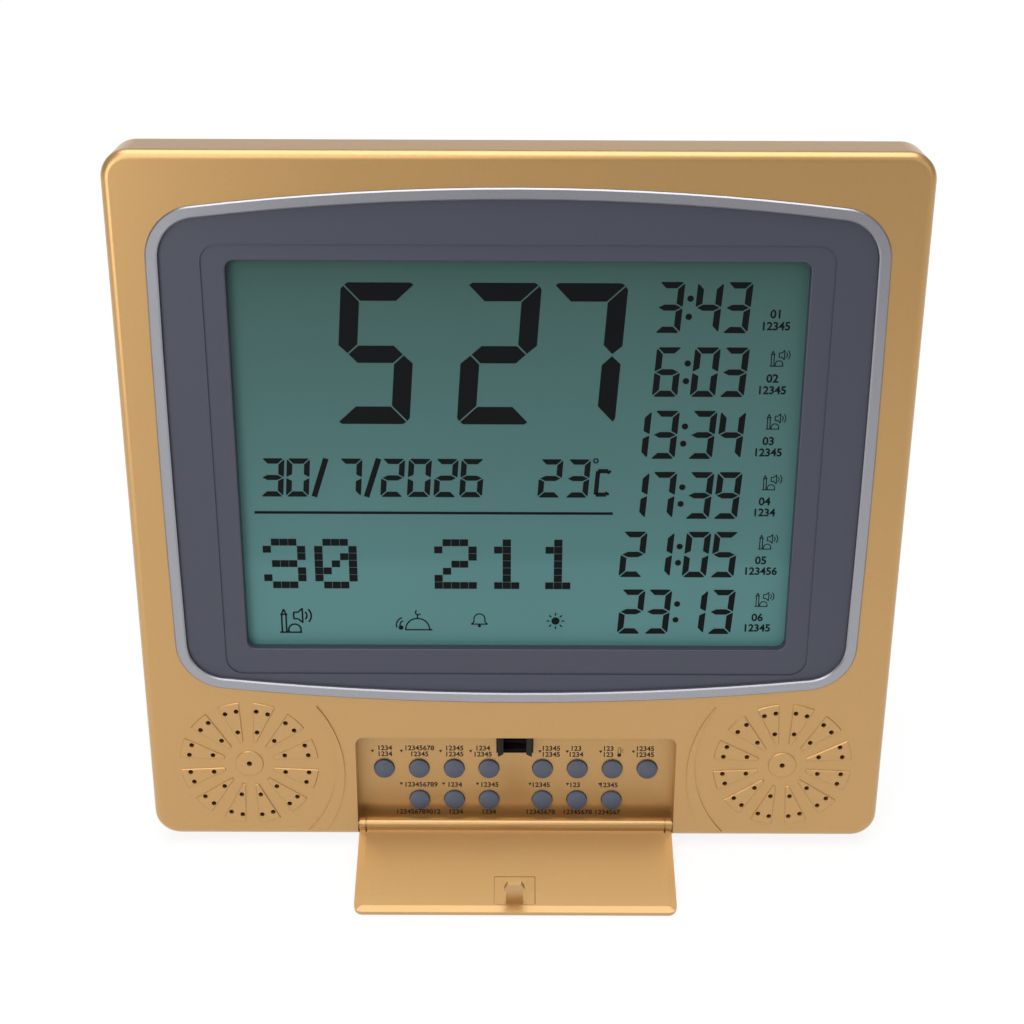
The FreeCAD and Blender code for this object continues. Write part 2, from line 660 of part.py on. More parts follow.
def chamfered_rim(plate, half_w, top):
    # Shallow bevel around the inner face, wide and flat
    side = prism_z([(half_w + 1, DOOR_T - DOOR_RIM_DEPTH), (half_w, DOOR_T - DOOR_RIM_DEPTH),
                    (half_w - DOOR_RIM, DOOR_T), (half_w - DOOR_RIM, DOOR_T + 1), (half_w + 1, DOOR_T + 1)],
                   HINGE_Z - 1, top + 1)
    over = prism_x([(DOOR_T - DOOR_RIM_DEPTH, top + 1), (DOOR_T - DOOR_RIM_DEPTH, top),
                    (DOOR_T, top - DOOR_RIM), (DOOR_T + 1, top - DOOR_RIM), (DOOR_T + 1, top + 1)],
                   -half_w - 1, half_w + 1)
    return plate.cut(side).cut(mirrored(side)).cut(over)


def striker():
    neck = STRIKER_NECK_HALF_W
    head = STRIKER_HEAD_HALF_W
    tip_y = DOOR_T + STRIKER_LENGTH
    shoulder_y = tip_y - STRIKER_HEAD_LENGTH
    half = [(neck, DOOR_T - 0.5), (neck, shoulder_y), (head, shoulder_y + 0.3), (head, shoulder_y + 1.0)]
    half += [(head - 1.2, tip_y)]
    outline = half + [(-x, y) for x, y in reversed(half)]
    outline = [(x + LATCH_X, y) for x, y in outline]
    foot = [(LATCH_X - neck - 4.0, DOOR_T - 0.5), (LATCH_X + neck + 4.0, DOOR_T - 0.5)]
    foot += [(LATCH_X + neck + 4.0, DOOR_T + 0.12), (LATCH_X - neck - 4.0, DOOR_T + 0.12)]
    plate = prism_z(outline, STRIKER_Z - STRIKER_T, STRIKER_Z)
    plinth = prism_z(foot, STRIKER_Z - STRIKER_T - 9.0, STRIKER_Z - STRIKER_T + 2.0)
    return [plate, plinth]


def hinge_pins():
    door_end = RECESS_HALF_W - DOOR_GAP - HINGE_PIN_IN + 0.3
    pin = rod_x(HINGE_Y, HINGE_Z, HINGE_PIN_R, door_end, RECESS_HALF_W + HINGE_PIN_OUT)
    return Part.makeCompound([pin, mirrored(pin)])


# Touch latch

def latch_nodes():
    x0 = LATCH_X - LATCH_HALF_W
    x1 = LATCH_X + LATCH_HALF_W
    wall = LATCH_WALL
    front = RECESS_FLOOR_Y
    shell = box(x0, x1, front, LATCH_BACK_Y, LATCH_LOW_Z, LATCH_HIGH_Z)
    mouth = box(x0 + 0.3, x1 - 0.3, front - 1, front + 1.2, LATCH_LOW_Z + 0.3, LATCH_HIGH_Z - 0.3)
    bore = box(x0 + wall, x1 - wall, front - 1, LATCH_BACK_Y - wall, LATCH_LOW_Z + wall, LATCH_HIGH_Z - wall)
    flange = box(x0 - 1.5, x1 + 1.5, FLOOR_BACK_Y, FLOOR_BACK_Y + 1.2, LATCH_LOW_Z, LATCH_HIGH_Z)
    NODES["latch_housing"] = shell.fuse(flange).cut(bore).cut(mouth).removeSplitter()
    low = LATCH_LOW_Z + wall + JAW_GAP
    high = LATCH_HIGH_Z - wall - JAW_GAP
    NODES["latch_slider"] = latch_slider(low, high)
    pins = [rod_z(LATCH_X + s * JAW_PIVOT_X, JAW_PIVOT_Y, JAW_PIN_R, low, high) for s in (-1, 1)]
    NODES["latch_pins"] = Part.makeCompound(pins)
    jaw = latch_jaw(low + 1.2 + JAW_GAP, high - 1.2 - JAW_GAP)
    left = mirrored(jaw)
    jaw.translate(Vector(LATCH_X, 0, 0))
    left.translate(Vector(LATCH_X, 0, 0))
    NODES["latch_jaw_right"] = jaw
    NODES["latch_jaw_left"] = left
    middle = (low + high) / 2
    coil = rod_y(LATCH_X, middle, 2.6, JAW_PIVOT_Y + 2.0, LATCH_BACK_Y - wall - LATCH_TRAVEL - 0.1)
    NODES["latch_spring"] = coil.cut(rod_y(LATCH_X, middle, 2.0, 0, LATCH_BACK_Y + 1))


def latch_slider(low, high):
    half = LATCH_HALF_W - LATCH_WALL - JAW_GAP
    mid = JAW_PIVOT_Y
    block = box(LATCH_X - 3.2, LATCH_X + 3.2, mid - 0.6, mid + 2.0, low, high)
    plates = [box(LATCH_X - half, LATCH_X + half, mid - SLIDER_LIP, mid + 2.0, low, low + 1.2)]
    plates.append(box(LATCH_X - half, LATCH_X + half, mid - SLIDER_LIP, mid + 2.0, high - 1.2, high))
    body = fused([block] + plates)
    nose = rod_y(LATCH_X, (low + high) / 2, 1.8, mid + 1.5, mid + 4.5)
    body = body.fuse(nose)
    for side in (-1, 1):
        body = body.cut(rod_z(LATCH_X + side * JAW_PIVOT_X, mid, JAW_PIN_R, low - 1, high + 1))
    return body


def latch_jaw(low, high):
    # Right jaw, drawn closed about its pivot and then swung open
    inner = STRIKER_HEAD_HALF_W + JAW_HEAD_GAP
    hook = STRIKER_NECK_HALF_W + JAW_HOOK_GAP
    outer = inner + JAW_T
    shoulder = DOOR_T + STRIKER_LENGTH - STRIKER_HEAD_LENGTH - LATCH_TRAVEL - JAW_HEAD_GAP
    tip = shoulder - CLAW_LENGTH
    front = JAW_PIVOT_Y - SLIDER_LIP - JAW_GAP
    outline = [(inner, front), (inner, shoulder + 0.7), (hook, shoulder), (hook, shoulder - 0.4)]
    outline += [(outer - 0.35, tip), (outer, tip + 0.3), (outer, front)]
    arm = prism_z(outline, LATCH_LOW_Z + CLAW_GAP, LATCH_HIGH_Z - CLAW_GAP)
    knuckle = rod_z(JAW_PIVOT_X, JAW_PIVOT_Y, 1.05, low, high)
    neck = box(inner, outer, front - 0.5, JAW_PIVOT_Y, low, high)
    jaw = fused([arm, knuckle, neck])
    jaw = jaw.cut(rod_z(JAW_PIVOT_X, JAW_PIVOT_Y, JAW_PIN_R + RUN_GAP, low - 1, high + 1))
    jaw.rotate(Vector(JAW_PIVOT_X, JAW_PIVOT_Y, 0), Vector(0, 0, 1), JAW_OPEN_DEG)
    return jaw


# Speakers

def speaker_nodes(side, name):
    x = side * SPEAKER_X
    z = SPEAKER_Z
    y = WALL
    back = y + SPEAKER_DEPTH
    r = SPEAKER_R
    funnel = taper_y(x, z, r - 2.5, r - 10.0, y + 1.5, y + 8.0)
    basket = rod_y(x, z, r, y, y + 1.5).fuse(funnel).removeSplitter()
    hollow = rod_y(x, z, r - 2.0, y - 1, y + 1.0).fuse(taper_y(x, z, r - 3.6, r - 11.0, y + 1.0, y + 7.3))
    basket = basket.cut(hollow).cut(rod_y(x, z, 7.0, y + 5, y + 9))
    NODES["speaker_frame_" + name] = basket
    cone = taper_y(x, z, r - 4.6, 6.0, y + 1.1, y + 6.4).cut(taper_y(x, z, r - 5.1, 5.6, y + 1.0, y + 6.0))
    cap = Part.makeSphere(8.0, Vector(x, y + 10.2, z)).common(rod_y(x, z, 6.2, y + 1, y + 6.0))
    coil = rod_y(x, z, 6.0, y + 5.8, y + 9.6).cut(rod_y(x, z, 5.4, y + 5, y + 10))
    surround = rod_y(x, z, r - 2.1, y + 0.3, y + 1.0).cut(rod_y(x, z, r - 5.2, y, y + 2))
    join = rod_y(x, z, r - 4.8, y + 0.9, y + 1.5).cut(rod_y(x, z, r - 5.6, y, y + 2))
    NODES["speaker_cone_" + name] = fused([cone, cap, coil, surround, join])
    pot = rod_y(x, z, 11.0, y + 8.0, back)
    gap = rod_y(x, z, 6.6, y + 7, y + 12).cut(rod_y(x, z, 4.8, y + 6, y + 13))
    NODES["speaker_magnet_" + name] = pot.cut(gap)


def speaker_screws():
    screws = []
    y = WALL + 1.7
    for side in (-1, 1):
        for x, z in speaker_clamp_spots(side * SPEAKER_X):
            washer = rod_y(x, z, 3.4, y, y + 0.6)
            head = rod_y(x, z, 2.0, y + 0.6, y + 2.0)
            shank = rod_y(x, z, 0.98, WALL - 0.6, y + 1.0)
            slot = box(x - 0.3, x + 0.3, y + 1.4, y + 3, z - 1.3, z + 1.3)
            screws.append(fused([washer, head, shank]).cut(slot))
    return Part.makeCompound(screws)


# Rear cover with its battery bay, stand recess and hanging slots

def rear_cover():
    flange = case_block(WALL + COVER_GAP, COVER_FRONT_Y, FRONT_DEPTH, CORNER_R - WALL - COVER_GAP)
    bulge = case_block(BULGE_INSET, COVER_FRONT_Y, REAR_DEPTH, BULGE_R)
    bulge = bulge.makeChamfer(BULGE_EDGE, edges_at_y(bulge, REAR_DEPTH))
    hollow_inset = BULGE_INSET + COVER_WALL
    hollow = case_block(hollow_inset, COVER_FRONT_Y - 1, REAR_DEPTH - COVER_WALL, BULGE_R - COVER_WALL)
    hollow = hollow.makeChamfer(BULGE_EDGE - 0.8, edges_at_y(hollow, REAR_DEPTH - COVER_WALL))
    cover = flange.fuse(bulge).cut(hollow)
    pocket_x, pocket_y, pocket_low = key_pocket()
    wall = KEY_POCKET_WALL
    bump_x = pocket_x + wall
    bump_top = BULGE_INSET + wall
    bump = box(-bump_x, bump_x, COVER_FRONT_Y, pocket_y + wall, pocket_low - wall, bump_top)
    pad_x = STAND_HALF_W + STAND_SIDE_GAP + STAND_CHEEK
    pad_low = BULGE_INSET + 1.0
    pad = box(-pad_x, pad_x, STAND_RECESS_FLOOR_Y - COVER_WALL, REAR_DEPTH - 1, pad_low, STAND_HINGE_Z + 8.0)
    cover = fused([cover, bump, pad, battery_bay_block()])
    return cover.cut(Part.makeCompound(rear_cover_cuts()))


def key_pocket():
    # Half width, back and lower edge of the space behind the key board
    back = KEY_BOARD_Y + BOARD_T + KEY_POCKET_DEPTH
    return KEY_BOARD_HALF_W + KEY_POCKET_GAP, back, KEY_BOARD_LOW_Z - KEY_POCKET_GAP


def battery_bay_block():
    half_l = BAY_HALF_L + BAY_WALL
    half_h = BAY_HALF_H + BAY_WALL
    x0, x1 = BAY_X - half_l, BAY_X + half_l
    return box(x0, x1, BAY_FLOOR_Y - BAY_WALL, REAR_DEPTH - 1, BAY_Z - half_h, BAY_Z + half_h)


def rear_cover_cuts():
    cuts = []
    pocket_x, pocket_y, pocket_low = key_pocket()
    pocket_top = BULGE_INSET + COVER_WALL + 3
    cuts.append(box(-pocket_x, pocket_x, COVER_FRONT_Y - 1, pocket_y, pocket_low, pocket_top))
    channel = STAND_HALF_W + STAND_SIDE_GAP
    cuts.append(box(-channel, channel, STAND_RECESS_FLOOR_Y, REAR_DEPTH + 1, 0, STAND_HINGE_Z + 5.0))
    pin_end = STAND_HALF_W + STAND_SIDE_GAP + STAND_CHEEK - 1.0
    cuts.append(rod_x(STAND_HINGE_Y, STAND_HINGE_Z, STAND_PIN_R, -pin_end, pin_end))
    cuts.append(box(BAY_X - BAY_HALF_L, BAY_X + BAY_HALF_L, BAY_FLOOR_Y, REAR_DEPTH + 1,
                    BAY_Z - BAY_HALF_H, BAY_Z + BAY_HALF_H))
    seat_y = REAR_DEPTH - BATTERY_COVER_T
    half_l, half_h = battery_cover_half()
    gap = BATTERY_COVER_GAP
    cuts.append(box(BAY_X - half_l - gap, BAY_X + half_l + gap, seat_y, REAR_DEPTH + 1,
                    BAY_Z - half_h - gap, BAY_Z + half_h + gap))
    low = BAY_Z - BAY_HALF_H
    for x in battery_tab_centres():
        cuts.append(box(x - 4.6, x + 4.6, seat_y - 5.0, REAR_DEPTH - COVER_WALL, low - BAY_WALL - 1, low + 1))
    cuts.append(rod_y(BAY_X, BAY_Z + half_h + 3.0, 7.0, REAR_DEPTH - 1.2, REAR_DEPTH + 1))
    for x, z in both_sides(CASE_SCREWS):
        cuts.append(rod_y(x, z, SCREW_CLEAR_R, COVER_FRONT_Y - 1, FRONT_DEPTH + 1))
        cuts.append(rod_y(x, z, SCREW_HEAD_R + 0.4, FRONT_DEPTH - SCREW_HEAD_T, FRONT_DEPTH + 4))
    for side in (-1, 1):
        cuts += keyhole(side * KEYHOLE_X)
        for k in range(6):
            z = SPEAKER_Z - 10.0 + 4.5 * k
            x0, x1 = side * VENT_X - VENT_HALF_L, side * VENT_X + VENT_HALF_L
            cuts.append(rounded_box(x0, x1, REAR_DEPTH - 6, REAR_DEPTH + 1, z - 1, z + 1, 0.95))
    return cuts


def keyhole(x):
    y0 = REAR_DEPTH - COVER_WALL - 1
    y1 = REAR_DEPTH + 1
    r = KEYHOLE_SLOT_R
    slot = box(x - r, x + r, y0, y1, KEYHOLE_Z, KEYHOLE_Z + KEYHOLE_SLOT_UP)
    return [rod_y(x, KEYHOLE_Z, KEYHOLE_R, y0, y1), slot, rod_y(x, KEYHOLE_Z + KEYHOLE_SLOT_UP, r, y0, y1)]


def battery_cover_half():
    return BAY_HALF_L + BATTERY_COVER_LIP, BAY_HALF_H + BATTERY_COVER_LIP


def battery_tab_centres():
    return [BAY_X - 18.0, BAY_X + 18.0]


def battery_cover():
    half_l, half_h = battery_cover_half()
    seat_y = REAR_DEPTH - BATTERY_COVER_T
    edge_r = BATTERY_COVER_T / 2
    foot = BAY_Z - half_h
    plate = box(BAY_X - half_l, BAY_X + half_l, seat_y, REAR_DEPTH, foot + edge_r, BAY_Z + half_h)
    edge = rod_x(REAR_DEPTH - edge_r, foot + edge_r, edge_r, BAY_X - half_l, BAY_X + half_l)
    grip = []
    for k in range(5):
        z = BAY_Z + half_h - 5.0 - 2.0 * k
        grip.append(box(BAY_X - 9, BAY_X + 9, REAR_DEPTH - 0.5, REAR_DEPTH + 1, z - 0.4, z + 0.4))
    low = BAY_Z - BAY_HALF_H
    tabs = []
    for x in battery_tab_centres():
        tabs.append(box(x - 4, x + 4, REAR_DEPTH - COVER_WALL - 1.6, REAR_DEPTH - COVER_WALL - 0.2,
                        low - BAY_WALL - 2.0, low + 2.6))
        tabs.append(box(x - 4, x + 4, REAR_DEPTH - COVER_WALL - 1.6, seat_y + 0.5, low + 1.0, low + 2.6))
    return fused([plate, edge] + tabs).cut(Part.makeCompound(grip))


def cell_rows():
    return [BAY_Z + k * CELL_PITCH for k in (-1, 0, 1)]


def cell_directions():
    return [1, -1, 1]


def battery_nodes():
    cells = []
    for z, way in zip(cell_rows(), cell_directions()):
        cells.append(cell(z, way))
    NODES["battery_cells"] = Part.makeCompound(cells)
    plates = []
    springs = []
    x_end = BAY_HALF_L
    for z, way in zip(cell_rows(), cell_directions()):
        for side in (-1, 1):
            x0, x1 = sorted((BAY_X + side * x_end, BAY_X + side * (x_end - CONTACT_T)))
            plates.append(box(x0, x1, BAY_FLOOR_Y + 1, BAY_FLOOR_Y + 13, z - 5.5, z + 5.5))
        near = BAY_X - way * (x_end - CONTACT_T)
        far = BAY_X - way * (CELL_LENGTH / 2 + CELL_TIP / 2)
        springs.append(spring_cone(near, far, z))
        bump = rod_x(CELL_Y, z, 2.4, *sorted((BAY_X + way * (x_end - CONTACT_T), cell_tip_x(way))))
        plates.append(bump)
    NODES["battery_contacts"] = Part.makeCompound(plates)
    NODES["battery_springs"] = Part.makeCompound(springs)


def cell_tip_x(way):
    return BAY_X + way * (CELL_LENGTH / 2 + CELL_TIP / 2)


def cell(z, way):
    half = CELL_LENGTH / 2
    middle = BAY_X - way * CELL_TIP / 2
    can = rod_x(CELL_Y, z, CELL_R, middle - half, middle + half)
    can = can.makeFillet(0.6, [e for e in can.Edges if isinstance(e.Curve, Part.Circle)])
    x0, x1 = sorted((middle + way * (half - 0.5), cell_tip_x(way)))
    return can.fuse(rod_x(CELL_Y, z, CELL_TIP_R, x0, x1))


def spring_cone(near, far, z):
    base = Vector(near, CELL_Y, z)
    along = Vector(1 if far > near else -1, 0, 0)
    length = abs(far - near)
    cone = Part.makeCone(4.6, 2.6, length, base, along)
    return cone.cut(Part.makeCone(4.0, 2.0, length, base, along))


# Stand, drawn folded and then swung out

def stand_length():
    # From the hinge to the ground line, along the open leg
    lean = math.radians(lean_degrees())
    spread = math.radians(STAND_OPEN_DEG)
    drop = STAND_HINGE_Z - math.tan(lean) * (STAND_HINGE_Y - FRONT_DEPTH)
    return drop / (math.cos(spread) + math.tan(lean) * math.sin(spread))


def stand_leg():
    length = stand_length()
    front = STAND_HINGE_Y - STAND_T / 2
    back = STAND_HINGE_Y + STAND_T / 2
    low = STAND_HINGE_Z - length - 4.0
    plate = box(-STAND_HALF_W, STAND_HALF_W, front, back, low, STAND_HINGE_Z + STAND_HEEL)
    panel_x = STAND_HALF_W - 7
    panel = rounded_box(-panel_x, panel_x, back - 0.8, back + 1, STAND_HINGE_Z - 92, STAND_HINGE_Z - 14, 5.0)
    notch = rod_y(0, STAND_HINGE_Z - length - 3.0, 11.0, front - 1, back + 1)
    bore = rod_x(STAND_HINGE_Y, STAND_HINGE_Z, STAND_PIN_R + RUN_GAP, -STAND_HALF_W - 1, STAND_HALF_W + 1)
    leg = plate.cut(Part.makeCompound([panel, notch, bore]))
    leg = turned(leg, STAND_HINGE_Y, STAND_HINGE_Z, STAND_OPEN_DEG)
    return leg.cut(below_ground())


def stand_pin():
    reach = STAND_HALF_W + STAND_SIDE_GAP + STAND_CHEEK - 1.0
    return rod_x(STAND_HINGE_Y, STAND_HINGE_Z, STAND_PIN_R, -reach, reach)


def below_ground():
    # Everything under the line that the leaned case stands on
    slab = box(-WIDTH, WIDTH, FRONT_DEPTH - 300, FRONT_DEPTH + 300, -100, 0)
    slab.rotate(Vector(0, FRONT_DEPTH, 0), Vector(1, 0, 0), lean_degrees())
    return slab


# Screws and leads

def case_screws():
    screws = []
    y = FRONT_DEPTH - SCREW_HEAD_T
    for x, z in both_sides(CASE_SCREWS):
        head = rod_y(x, z, SCREW_HEAD_R, y, y + 1.8)
        shank = rod_y(x, z, SCREW_R, COVER_FRONT_Y - SCREW_BITE, y + 0.5)
        slot = box(x - 0.4, x + 0.4, y + 1.0, y + 3, z - 1.8, z + 1.8)
        bar = box(x - 1.8, x + 1.8, y + 1.0, y + 3, z - 0.4, z + 0.4)
        screws.append(head.fuse(shank).cut(slot.fuse(bar)))
    return Part.makeCompound(screws)


def lead_nodes():
    back_y = MAIN_BOARD_Y + BOARD_T
    speaker_leads = []
    for side, socket in ((-1, -12.0), (1, 8.0)):
        for k in (0, 1):
            x = side * (SPEAKER_X - 14.0) + 2.0 * k
            turn_x = side * 35.0 - 2.0 + 2.0 * k
            points = [(x, WALL + 8.7, SPEAKER_Z + 3.0), (x, 17.0, SPEAKER_Z + 14.0)]
            points += [(side * 52.0 + 2.0 * k, 20.5, 52.5 + 1.5 * k * side), (turn_x, 20.5, 60.0)]
            points += [(turn_x, 17.5, 92.0), (socket + 2.0 * k, 18.0, 112.0)]
            points += [(socket + 2.0 * k, back_y + 2.4, MAIN_BOARD_LOW_Z + 0.7)]
            speaker_leads.append(lead(points, 0.6))
    NODES["speaker_leads"] = Part.makeCompound(speaker_leads)
    battery_leads = []
    edge_x = BAY_X - BAY_HALF_L - BAY_WALL
    for k in (0, 1):
        x = 27.0 + 2.0 * k
        z = BAY_Z + 6.0 + 5.0 * k
        points = [(edge_x - 0.4, 20.0, z), (x + 4.0, 20.0, z + 2.0), (x, 19.0, z + 14.0)]
        points += [(x, back_y + 2.4, MAIN_BOARD_LOW_Z + 0.7)]
        battery_leads.append(lead(points, 0.6))
    NODES["battery_leads"] = Part.makeCompound(battery_leads)
    NODES["ribbon_cable"] = ribbon_cable(back_y)
    bead = Part.makeSphere(1.6, Vector(54.0, back_y + 6.5, 190.0))
    legs = [rod_y(54.0 + s, 190.0, 0.3, back_y, back_y + 6.5) for s in (-0.8, 0.8)]
    NODES["temperature_sensor"] = fused([bead] + legs)


def ribbon_cable(back_y):
    key_back = KEY_BOARD_Y + BOARD_T
    thick = 0.7
    points = [(-45.0, key_back + thick / 2, KEY_BOARD_HIGH_Z - 4.0), (-45.0, key_back + thick / 2, 40.0)]
    points += [(-45.0, back_y + 1.2, 62.0), (-45.0, back_y + 1.2, MAIN_BOARD_LOW_Z + 1.0)]
    path = wire_path(points, 0.3)
    low = Vector(-45.0, key_back, KEY_BOARD_HIGH_Z - 4.0)
    corners = [low, low + Vector(20, 0, 0), low + Vector(20, thick, 0), low + Vector(0, thick, 0)]
    outline = Part.makePolygon(corners + corners[:1])
    return path.makePipeShell([outline], True, False)


# Standing the clock

def door_tip():
    # Outer lower corner of the open door's free edge
    angle = math.radians(DOOR_OPEN_DEG)
    y = 0 - HINGE_Y
    z = RECESS_TOP_Z - DOOR_TOP_GAP - HINGE_Z
    c, s = math.cos(angle), math.sin(angle)
    return HINGE_Y + y * c - z * s, HINGE_Z + y * s + z * c


def lean_degrees():
    # The case stands on its lower rear edge with the open door just clear of the table
    tip_y, tip_z = door_tip()
    ahead = FRONT_DEPTH - tip_y
    reach = math.hypot(ahead, tip_z)
    return math.degrees(math.asin(TIP_CLEAR / reach) - math.atan2(tip_z, ahead))


def build_nodes():
    NODES["front_case"] = front_case()
    NODES["trim_ring"] = trim_ring()
    NODES["display_bezel"] = display_bezel()
    lcd_nodes()
    board_nodes()
    NODES["control_door"] = control_door()
    NODES["door_hinge_pins"] = hinge_pins()
    latch_nodes()
    for number, (x, z) in enumerate(button_spots(), start=1):
        NODES["button_%02d" % number] = button(x, z)
    speaker_nodes(-1, "left")
    speaker_nodes(1, "right")
    NODES["speaker_screws"] = speaker_screws()
    NODES["rear_cover"] = rear_cover()
    NODES["battery_cover"] = battery_cover()
    battery_nodes()
    NODES["stand_leg"] = stand_leg()
    NODES["stand_pin"] = stand_pin()
    NODES["case_screws"] = case_screws()
    lead_nodes()


def stand_up():
    lean = lean_degrees()
    for name, shape in NODES.items():
        shape.rotate(Vector(0, 0, 0), Vector(1, 0, 0), -lean)
    whole = Part.makeCompound(list(NODES.values())).optimalBoundingBox(False, False)
    shift = Vector(0, -(whole.YMin + whole.YMax) / 2, FRONT_DEPTH * math.sin(math.radians(lean)))
    for shape in NODES.values():
        shape.translate(shift)
    print("lean %.4f shift %.4f %.4f" % (lean, shift.y, shift.z))
    print("stand length %.3f" % stand_length())


os.makedirs("parts", exist_ok=True)
build_nodes()
stand_up()
for node, shape in NODES.items():
    shape.exportStep("parts/" + node + ".step")
    print(node, len(shape.Solids), shape.isValid(), round(shape.Volume / 1000, 3))
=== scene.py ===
import bpy
import json
import math
from mathutils import Matrix, Vector


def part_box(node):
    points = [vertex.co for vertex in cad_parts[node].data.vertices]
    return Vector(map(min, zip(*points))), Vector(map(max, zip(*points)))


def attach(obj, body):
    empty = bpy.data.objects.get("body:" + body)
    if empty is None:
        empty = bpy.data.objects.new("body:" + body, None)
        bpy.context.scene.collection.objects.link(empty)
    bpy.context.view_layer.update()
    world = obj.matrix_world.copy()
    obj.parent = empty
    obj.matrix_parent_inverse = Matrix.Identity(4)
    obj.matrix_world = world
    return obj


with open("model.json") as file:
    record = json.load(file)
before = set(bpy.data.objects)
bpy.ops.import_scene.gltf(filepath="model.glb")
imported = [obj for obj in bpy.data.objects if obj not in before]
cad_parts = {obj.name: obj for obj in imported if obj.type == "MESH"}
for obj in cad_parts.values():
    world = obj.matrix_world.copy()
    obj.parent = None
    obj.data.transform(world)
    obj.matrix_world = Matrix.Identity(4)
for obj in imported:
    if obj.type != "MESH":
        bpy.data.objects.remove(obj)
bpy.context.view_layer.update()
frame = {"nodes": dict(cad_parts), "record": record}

bl_info = {
    "name": "Prayer time clock",
    "version": (1, 0, 0),
    "blender": (4, 5, 0),
    "location": "3D View > Sidebar > Clock",
    "description": "Builds the display, legends and finishes of a prayer time clock on its frame",
    "category": "Object",
}

MM = 0.001

# The clock leans back: its own upright frame is found from the door's hinge and the buttons' slide
JOINTS = {j["name"]: j for j in frame["record"]["behaviour"]["joints"]}
PRESS = JOINTS["button_01_press"]["axis"]
HINGE = Vector(JOINTS["door_hinge"]["pos_m"])
HINGE_IN_CASE = Vector((0.0, 2.5, 3.5)) * MM
LEAN = math.atan2(-PRESS[2], PRESS[1])
TURN = Matrix.Rotation(-LEAN, 4, "X")
STAND = Matrix.Translation(HINGE - (TURN @ HINGE_IN_CASE)) @ TURN
DOOR_ANGLE = math.radians(JOINTS["door_hinge"]["range_deg"][1])

# Camera, in the case's frame
CAMERA_PLACE = Vector((-1.8, -551.6, 363.6))
CAMERA_AHEAD = Vector((0.0002, 0.9193, -0.3935))
CAMERA_UP = Vector((-0.0036, 0.3935, 0.9193))

# Display, in millimetres in the case's frame
GLASS_Y = 5.0
INK = 0.04
SLANT_DEG = 3.95
ROW_Z = [197.0, 175.15, 153.3, 131.6, 109.8, 88.1]
ROW_TIMES = ["3:43", "6:03", "13:34", "17:39", "21:05", "23:13"]
ROW_DIGIT_X = [39.55, 48.75, 61.15, 70.6]
ROW_COLON = [(55.33, 3.0), (55.0, -3.07)]
ROW_HEIGHT = 17.0
ROW_WORDS = [9.6, 9.2, 8.9, 7.2, 10.4, 8.6]
ROW_WORD_X = 83.2
ROW_WORD_HEIGHT = 2.7
ROW_NUMBER_HEIGHT = 2.8
ROW_ICON = (82.0, 1.9)
ROW_WIDTH = 8.3
ROW_STROKE = 2.1
BIG_Z = 180.9
BIG_DIGITS = [("5", -46.15), ("2", -6.2), ("7", 21.5)]
BIG_HEIGHT = 48.2
BIG_WIDTH = 24.4
BIG_STROKE = 6.1
DATE_Z = 137.6
DATE_HEIGHT = 13.8
DATE_DIGITS = [
    ("3", -81.85), ("0", -73.3), ("7", -55.8), ("2", -41.6),
    ("0", -32.7), ("2", -23.8), ("6", -15.15),
]
TEMPERATURE = [("2", 11.1), ("3", 20.3)]
DATE_WIDTH = 7.7
DATE_STROKE = 1.9
SLASHES = [-65.9, -48.35]
RULE = (-88.5, 32.3, 124.9, 0.95)
DOT_X = -86.47
DOT_Z = 113.93
DOT_PITCH = (2.915, 2.675)
DOT_CELL = (2.8, 2.54)
DOT_COLUMNS = [(0, "3"), (6, "0"), (20, "2"), (26, "1"), (32, "1")]
DOT_FONT = {
    "3": ["01110", "10001", "00001", "01110", "00001", "10001", "01110"],
    "0": ["01110", "10001", "10011", "10101", "11001", "10001", "01110"],
    "2": ["01110", "10001", "00001", "00110", "01000", "10000", "11111"],
    "1": ["00100", "01100", "00100", "00100", "00100", "00100", "01110"],
}
SEGMENTS = {
    "0": "abcdef", "1": "bc", "2": "abged", "3": "abgcd", "4": "fgbc", "5": "afgcd",
    "6": "afgedc", "7": "abc", "8": "abcdefg", "9": "abcdfg",
}

# Control panel, in millimetres in the case's frame
RECESS_Y = 8.0
# Each printed place: middle, width of its first line, width of its second line
UPPER_LEGENDS = [
    (-47.1, 4.9, 5.3), (-34.7, 10.6, 6.7), (-22.1, 6.6, 6.1), (-11.9, 5.3, 6.5),
    (12.6, 6.0, 5.9), (21.6, 4.2, 4.9), (33.2, 3.5, 4.4), (46.4, 7.1, 6.9),
]
LOWER_LEGENDS = [(-34.3, 11.3), (-22.1, 5.2), (-9.5, 6.4), (9.1, 6.6), (21.4, 4.0), (33.7, 6.0)]
BOTTOM_LEGENDS = [(-35.5, 16.1), (-21.8, 5.5), (-9.8, 5.1), (9.0, 9.9), (22.5, 10.4), (33.4, 9.2)]
UPPER_MARKS = [-51.5, -41.1, -27.0, -16.2, 8.7, 18.5, 30.5, 42.3]
LOWER_MARKS = [-41.4, -26.1, -13.8, 5.2, 18.8, 30.5]
UPPER_MARK_Z = 31.0
LOWER_MARK_Z = 17.4
LEGEND_HIGH_Z = 30.9
LEGEND_LOW_Z = 28.4
LOWER_LEGEND_Z = 15.7
BOTTOM_LINE_Z = 4.2


# Moulding lines round the striker, on the inside of the shut door, raised a little and coloured darker as
# painted shade in their grooves
WITNESS_X = (-7.4, 6.9)
WITNESS_INNER_X = 4.5
WITNESS_Z = (25.8, 36.9)
WITNESS_Y = 2.05

